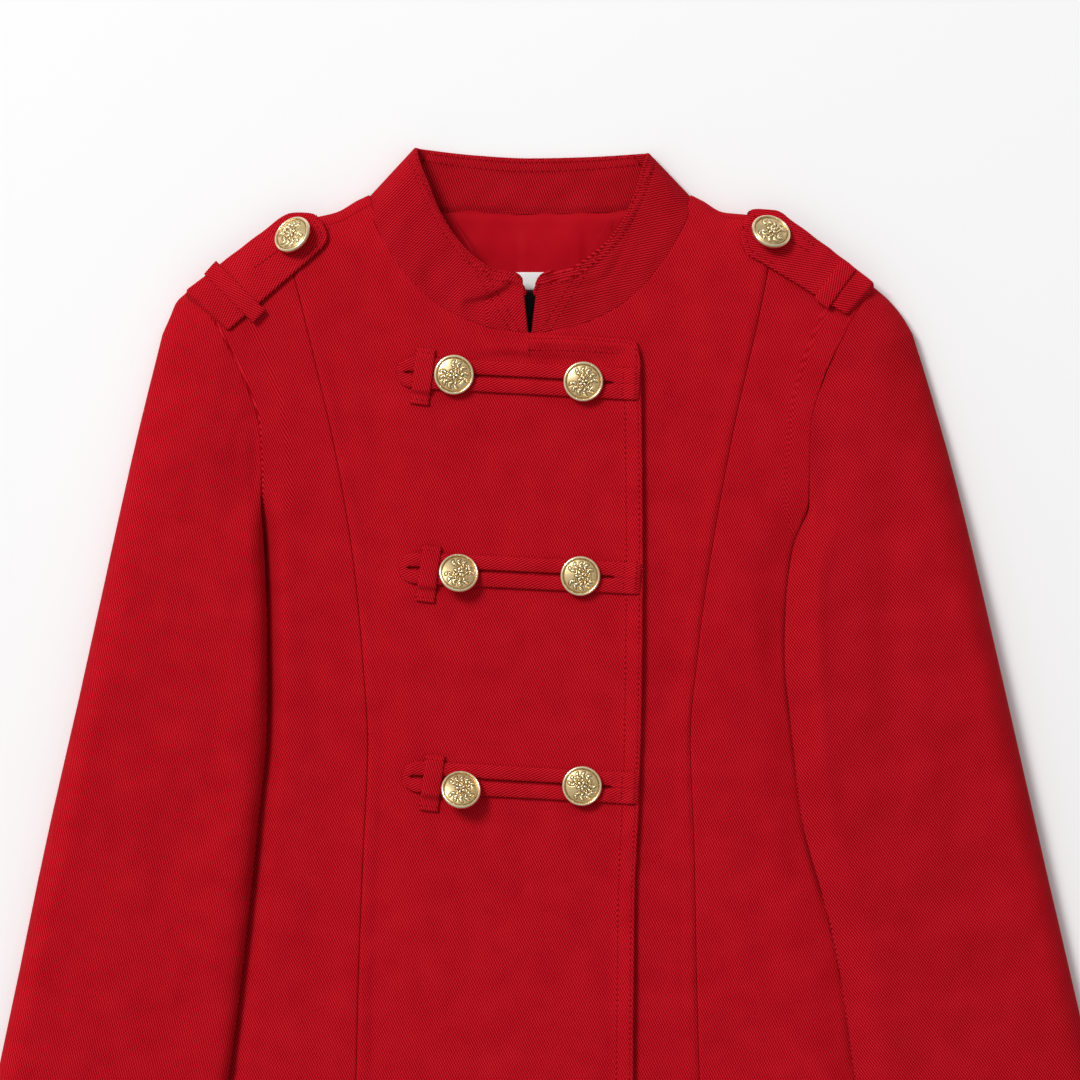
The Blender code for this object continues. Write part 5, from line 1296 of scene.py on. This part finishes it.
def button_loop(row, numbers):
    """Two strands of folded cloth side by side, joined at a pointed tip and at the front edge."""
    tip, end, keeper, inner_button, outer_button = (np.array([numbers[i], -numbers[i + 1]]) for i in range(0, 10, 2))
    end = end + [LOOP_ON, 0]
    length, way, across = along_axis(tip, end)
    buttons = [float((spot - tip) @ way) for spot in (inner_button, outer_button)]
    spots = np.unique(np.concatenate([np.linspace(0, length, 130), [0.001, 0.002, length - 0.0005]]))
    half = 0.0006 + (LOOP_HALF - 0.0006) * dome(spots / LOOP_TIP)
    slit = np.full(len(spots), SLIT_HALF)
    for spot in buttons:
        slit = np.maximum(slit, SLIT_AT_BUTTON * np.exp(-(((spots - spot) / 0.010) ** 4)))
    opened = ease((spots - 0.0045) / 0.0014) * ease((length - 0.0135 - spots) / 0.0030)
    slit = np.minimum(slit, SLIT_MOST) * opened
    base = tip + spots[:, None] * way
    nets = []
    for sign in (1, -1):
        shares = np.sort(np.concatenate([np.linspace(0, 1, 8), [0.05, 0.10, 0.90, 0.95]]))
        offset = slit[None] + shares[:, None] * (half - slit)[None]
        plan = base[None] + sign * across * offset[..., None]
        lying = raised(plan, centre_height(-1)(*xy(plan)) - folds(FRONT_FOLDS, *xy(plan)))
        apart, together = np.sin(np.pi * shares) ** 0.7, 0.8 * np.cos(np.pi / 2 * shares) ** 0.7
        crown = 0.0008 * (together[:, None] + (apart - together)[:, None] * opened[None])
        lying[..., 2] += 0.00025 + LOOP_CLOTH + crown + 0.00012 * ripple(*xy(plan), 0.009, 100 + row)
        tucked = 0.0013 * (1 - ease((length - spots) / 0.004))
        lying[..., 2] -= tucked[None]
        nets.append((lying, outward_of(lying), (0.15 + 0.85 * opened, 1, 1, 1)))
    wall(f"button_loop_{row}", nets, LOOP_CLOTH, FINISH["loop"], sheet=["front_centre_right"])
    button(f"button_inner_{row}", 12 + 25 * row)
    button(f"button_outer_{row}", 40 + 25 * row)
    side_way = unit(np.array([KEEPER_SLANT / KEEPER_LENGTH, 1.0]))
    middle = float((tip - keeper) @ across) / float(side_way @ across)
    cross = np.array([side_way[1], -side_way[0]])
    run = np.linspace(KEEPER_LENGTH / 2, -KEEPER_LENGTH / 2, 34)
    wide = spots_across(10, [0.88, 0.95]) * KEEPER_HALF
    plan = keeper + run[:, None, None] * side_way + wide[None, :, None] * cross
    lying, _ = surface(["front_centre_right"], plan)
    off = np.abs(run - middle)
    lift = (LOOP_CLOTH + 0.0005) * (1 - ease((off - LOOP_HALF - 0.0002) / 0.0032))
    folded = 0.0005 * band(KEEPER_LENGTH / 2 - np.abs(run), 0.0002, 0.0026, 0.0008)
    lying[..., 2] += 0.0003 + KEEPER_CLOTH + (lift + folded)[:, None] + 0.0003 * np.cos(wide / KEEPER_HALF * np.pi / 2)
    wall(f"loop_keeper_{row}", [(lying, outward_of(lying), (1, 1, 1, 1))], KEEPER_CLOTH, FINISH["keeper"],
         sheet=["front_centre_right", f"button_loop_{row}"])
    for at in (KEEPER_LENGTH / 2 - KEEPER_ROW, KEEPER_ROW - KEEPER_LENGTH / 2):
        ends = [keeper + at * side_way + s * 0.0046 * cross for s in (-1, 1)]
        sew([f"loop_keeper_{row}"], ends, "stitches_loops")
    for inward in LOOP_BARS:
        spot = tip + (length - inward) * way
        sew([f"button_loop_{row}", "front_centre_right"], [spot + s * 0.0086 * across for s in (-1, 1)],
            "stitches_loops")


def rounded_corners(points, cuts):
    """A line of plan points with its inner corners cut and curved."""
    points = np.array(points, float)
    line = [points[0]]
    for before, corner, after, cut in zip(points, points[1:], points[2:], cuts):
        start, end = (corner + (p - corner) * min(cut / np.linalg.norm(p - corner), 0.5) for p in (before, after))
        share = np.linspace(0, 1, 8)[:, None]
        line.extend((1 - share) ** 2 * start + 2 * share * (1 - share) * corner + share**2 * end)
    return np.array(line)


def epaulette_edges(side):
    """The back and front edges in plan, from the seam round the corners of the tip."""
    back_line, front_line = (flipped(EPAULETTES[side][name]) for name in ("back", "front"))
    return [rounded_corners(own + [other[-1]], EPAULETTE_CORNERS)
            for own, other in ((back_line, front_line), (front_line, back_line))]


def epaulette(side):
    """The strap from the sleeve's seam to its tip, its button and its keeper."""
    numbers = EPAULETTES[side]
    edges = [spline(edge[::3], np.linspace(0, 1, 22)) for edge in epaulette_edges(side)]
    plan = refined(net(edges[0], edges[1], np.linspace(0, 1, 6)), STRAP_CELL)
    points, outward = laid(plan, lambda x, y: epaulette_height(side, x, y))
    edge = edge_distance(plan[:, [0, -1]], plan)
    height = groove(edge - EPAULETTE_STITCH_IN, 0.0008, 0.00024)
    height = height + 0.00016 * ripple(*xy(plan), 0.012, 7)
    from_seam = lengths_down(points)
    height = height + 0.0005 * ease((from_seam - 0.004) / 0.010) - SEAM_DIP * ease(1 - from_seam / SEAM_DIP_LENGTH)
    points = points + outward * (EPAULETTE_CLOTH + height)[..., None]
    name = f"epaulette_{SIDE_NAMES[side]}"
    wall(name, [(points, outward_of(points), (0, 1, 1, 1))], EPAULETTE_CLOTH, FINISH[name],
         sheet=[f"front_side_{SIDE_NAMES[side]}"])
    button(f"button_epaulette_{SIDE_NAMES[side]}", 70 * side)
    start, end = (np.array(p) for p in flipped(numbers["keeper"]))
    length, way, across = along_axis(start, end)
    run = np.linspace(0, length, 30)
    wide = spots_across(8, [0.85, 0.94]) * EPAULETTE_KEEPER_HALF
    plan = start + run[:, None, None] * way + wide[None, :, None] * across
    points, outward = laid(plan, lambda x, y: epaulette_height(side, x, y))
    crown = 0.0003 * np.cos(wide / EPAULETTE_KEEPER_HALF * np.pi / 2)
    points = points + outward * (EPAULETTE_CLOTH + 0.0004 + KEEPER_CLOTH + crown)[..., None]
    wall(f"epaulette_keeper_{SIDE_NAMES[side]}", [(points, outward_of(points), (1, 1, 1, 1))], KEEPER_CLOTH,
         FINISH[f"band_{SIDE_NAMES[side]}"], sheet=[name])


def edge_distance(sides, plan):
    """How far each point of a net lies from the nearest of its long edges and its end."""
    near = np.full(plan.shape[:2], 1.0)
    for line in (sides[:, 0], sides[:, 1], plan[-1]):
        near = np.minimum(near, np.abs(beside(line, *xy(plan))[0]))
    return near


# Sewing ----------------------------------------------------------------------------------------------------
SEWN = {}


def resampled(line, step):
    """A line's points about a step apart."""
    length = run_of(line)[-1]
    return points_along(line, np.linspace(0, length, max(1, round(length / step)) + 1))


def sew(names, line, group, stitch=STITCH):
    """A row of stitches on these pieces, along a line of plan points."""
    plan = resampled(np.array(line, float), stitch)
    points, ways = surface(names, plan)
    keep = ~np.isnan(points[:, 2])
    SEWN.setdefault(group, []).append((points[keep], ways[keep]))


def tubes(starts, ends, ways, radius, lifts, widths):
    """Small closed spindles between pairs of points, as places and faces."""
    sides = 6
    along = ends - starts
    across = unit(np.cross(ways, along))
    shares = np.linspace(0, 1, len(lifts))[:, None]
    angle = np.linspace(0, 2 * np.pi, sides, endpoint=False)[:, None]
    middle = starts[:, None] + along[:, None] * shares + ways[:, None] * np.array(lifts)[:, None]
    ring = across[:, None, None] * np.cos(angle) + ways[:, None, None] * np.sin(angle)
    places = middle[:, :, None] + ring * (radius * np.array(widths))[:, None, None]
    per = len(lifts) * sides
    ids = np.arange(per).reshape(len(lifts), sides)
    after = np.roll(ids, -1, axis=1)
    faces = np.stack([ids[:-1], after[:-1], after[1:], ids[1:]], axis=-1).reshape(-1, 4)
    caps = [ids[0, ::-1], ids[-1]]
    all_faces = []
    for number in range(len(starts)):
        all_faces += (faces + number * per).tolist() + [(cap + number * per).tolist() for cap in caps]
    return places.reshape(-1, 3), all_faces


def make_stitches():
    """One piece of thread and one of needle holes in painted shade for each group of rows."""
    for group, rows in SEWN.items():
        for kind, radius in (("thread", STITCH_RADIUS), ("painted_hole_shade", HOLE_RADIUS)):
            places, faces = [], []
            for points, ways in rows:
                if len(points) < 2:
                    continue
                if kind == "thread":
                    starts, ends = (points[:-1] * (1 - share) + points[1:] * share
                                    for share in (STITCH_END, 1 - STITCH_END))
                    new, made = tubes(starts, ends, ways[:-1], radius, [-0.00012, 0.00003, 0.00010, 0.00003, -0.00012],
                                      [0.5, 0.9, 1.0, 0.9, 0.5])
                else:
                    # Needle holes: dark spindles sunk into the cloth, painted shade in its dimples
                    step = np.gradient(points, axis=0)
                    step *= HOLE_HALF / np.linalg.norm(step, axis=1, keepdims=True)
                    new, made = tubes(points - step, points + step, ways, radius, [-0.00022] * 3, [0.5, 1.0, 0.5])
                start = sum(len(part) for part in places)
                places.append(new)
                faces += [[v + start for v in face] for face in made]
            mesh = bpy.data.meshes.new(f"{group}_{kind}")
            mesh.from_pydata(np.vstack(places).tolist(), [], faces)
            add_piece(f"{group}_{kind}", mesh, FINISH[kind])


def row_inside(points, inside):
    """A line of points this far from a net's first row."""
    return np.array([[np.interp(inside, length, values) for values in column.T]
                     for length, column in zip(lengths_down(points).T, np.swapaxes(points, 0, 1))])


def sew_collar():
    """Topstitching inside the collar's top edge, its front ends and round the back."""
    whole = refined(collar_net(), COLLAR_CELL)
    for inside in COLLAR_ROWS:
        row = row_inside(whole, inside)
        for side in (-1, 1):
            line = row[(row[:, 2] > 0.0125) & (row[:, 0] * side > COLLAR_FRONT + inside), :2]
            line = line[::-side]
            foot = np.array([side * (COLLAR_FRONT + inside), -0.0720])
            ends = np.linspace(line[-1], foot, 12)[1:]
            sew(["collar"], np.vstack([line, ends]), "stitches_collar")
    facing = refined(collar_net()[:, FLAT_FROM:FLAT_TO, :2], FACING_CELL)
    for inside in (*COLLAR_ROWS, float(lengths_down(facing)[-1].mean()) - FACING_EDGE):
        sew(["collar_facing"], row_inside(facing, inside + FACING_EDGE)[1:-1], "stitches_collar")


def sew_body():
    """Topstitching on the lapped front, and the hems of body and sleeves."""
    right = ["front_centre_right"]
    edge = at_downs(FRONT_EDGE, np.linspace(0.083, HEM - 0.002, 80))
    sew(right, edge - [EDGE_ROWS[0], 0], "stitches_front")
    sew(right, edge[3:] - [EDGE_ROWS[1], 0], "stitches_front")
    top = spline([(-0.0005, -0.0745), *flipped(FLAP_TOP), (0.0555, -0.0778)], np.linspace(0, 1, 30))
    sew(right, top - [0, TOP_ROWS[0]], "stitches_front")
    sew(right, top[:-4] - [0, TOP_ROWS[1]], "stitches_front")
    for side in (-1, 1):
        name = SIDE_NAMES[side]
        hem = np.array([(side * x, -HEM + HEM_ROW) for x in np.linspace(0.005, 0.204, 40)])
        sew([f"front_centre_{name}", f"front_side_{name}", "front_centre_right"], hem, "stitches_front")
        cuff_in, cuff_out = np.array(flipped([INNER_FOLD[side][-1], OUTER_FOLD[side][-1]]))
        line = np.linspace(cuff_in, cuff_out, 30)[2:-2] + [0, CUFF_ROW]
        sew([f"sleeve_top_{name}"], line, "stitches_sleeves")
    for side in (-1, 1):
        edges = epaulette_edges(side)
        outline = resampled(np.vstack([edges[0][1:], edges[1][:0:-1]]), 0.001)
        middle = outline.mean(0)
        way = unit(np.gradient(outline, axis=0))
        inward = np.column_stack([-way[:, 1], way[:, 0]])
        inward *= np.sign(((middle - outline) * inward).sum(1, keepdims=True))
        name = f"epaulette_{SIDE_NAMES[side]}"
        sew([name], (outline + inward * EPAULETTE_STITCH_IN)[6:-6], "stitches_epaulettes")
        start, end = (np.array(spot) for spot in BUTTONHOLES[side])
        sew([name], [start, end], "stitches_epaulettes", BUTTONHOLE_STITCH)


# Stage -----------------------------------------------------------------------------------------------------
FRAME_WIDTH = 0.594  # what the picture takes in
FRAME_CENTRE = (0.0055, -0.1870)  # garment coordinates
CAMERA_HEIGHT, SENSOR = 4.0, 36.0
CLOTH_LEVEL = 0.010  # the height at which the picture takes in its width
FLOOR_HALF, FLOOR_DOWN = 4.0, 0.0001
KEY_PLACE = (-3.0, 3.0, 5.1)  # from the middle of the picture
KEY_SIZE, KEY_POWER = 1.9, 309.0
ROOM_DIM, ROOM_BRIGHT = 0.08, 0.64  # the room's own light, from behind the key light to beside it


def light(name, place, size, power, target):
    """A square lamp that faces a target."""
    data = bpy.data.lights.new(name, "AREA")
    data.shape, data.size, data.energy = "SQUARE", size, power
    made = bpy.data.objects.new(name, data)
    bpy.context.scene.collection.objects.link(made)
    made.location = place
    made.rotation_mode = "QUATERNION"
    made.rotation_quaternion = (Vector(target) - Vector(place)).to_track_quat("-Z", "Y")


def stage():
    """The camera above, the floor, and the room's light with one large soft lamp."""
    scene = bpy.context.scene
    centre = Vector((*FRAME_CENTRE, 0.0)) + PLACE
    camera_data = bpy.data.cameras.new("camera")
    camera_data.sensor_width = SENSOR
    camera_data.lens = SENSOR * (CAMERA_HEIGHT - CLOTH_LEVEL) / FRAME_WIDTH
    camera_data.clip_end = 20.0
    camera = bpy.data.objects.new("camera", camera_data)
    scene.collection.objects.link(camera)
    camera.location = centre + Vector((0, 0, CAMERA_HEIGHT))
    scene.camera = camera
    floor = bpy.data.meshes.new("floor")
    corners = [(x * FLOOR_HALF, y * FLOOR_HALF, -FLOOR_DOWN) for x, y in ((-1, -1), (1, -1), (1, 1), (-1, 1))]
    floor.from_pydata(corners, [], [(0, 1, 2, 3)])
    paper = Nodes("floor_paper")
    paper.set(Base_Color=(0.90, 0.90, 0.90, 1.0), Roughness=0.9)
    floor.materials.append(paper.material)
    made = bpy.data.objects.new("floor", floor)
    scene.collection.objects.link(made)
    world = bpy.data.worlds.new("studio")
    world.use_nodes = True
    nodes, links = world.node_tree.nodes, world.node_tree.links
    towards = nodes.new("ShaderNodeVectorMath")
    towards.operation = "DOT_PRODUCT"
    towards.inputs[1].default_value = Vector(KEY_PLACE).normalized()
    links.new(nodes.new("ShaderNodeTexCoord").outputs["Generated"], towards.inputs[0])
    spread = nodes.new("ShaderNodeMapRange")
    for socket, value in (("From Min", -1.0), ("From Max", 1.0), ("To Min", ROOM_DIM), ("To Max", ROOM_BRIGHT)):
        spread.inputs[socket].default_value = value
    links.new(towards.outputs["Value"], spread.inputs["Value"])
    links.new(spread.outputs["Result"], nodes["Background"].inputs["Strength"])
    nodes["Background"].inputs["Color"].default_value = (1.0, 1.0, 1.0, 1.0)
    scene.world = world
    light("key", centre + Vector(KEY_PLACE), KEY_SIZE, KEY_POWER, centre)
    scene.view_settings.view_transform = "Standard"


# Making ----------------------------------------------------------------------------------------------------
back()
for side in (-1, 1):
    front_side(side)
    sleeve_under(side)
    sleeve_top(side)
front_centre(1)
front_centre(-1)
collar()
lining_and_labels()
for row, numbers in enumerate(LOOPS, 1):
    button_loop(row, numbers)
for side in (-1, 1):
    epaulette(side)
sew_collar()
sew_body()
make_stitches()
stage()
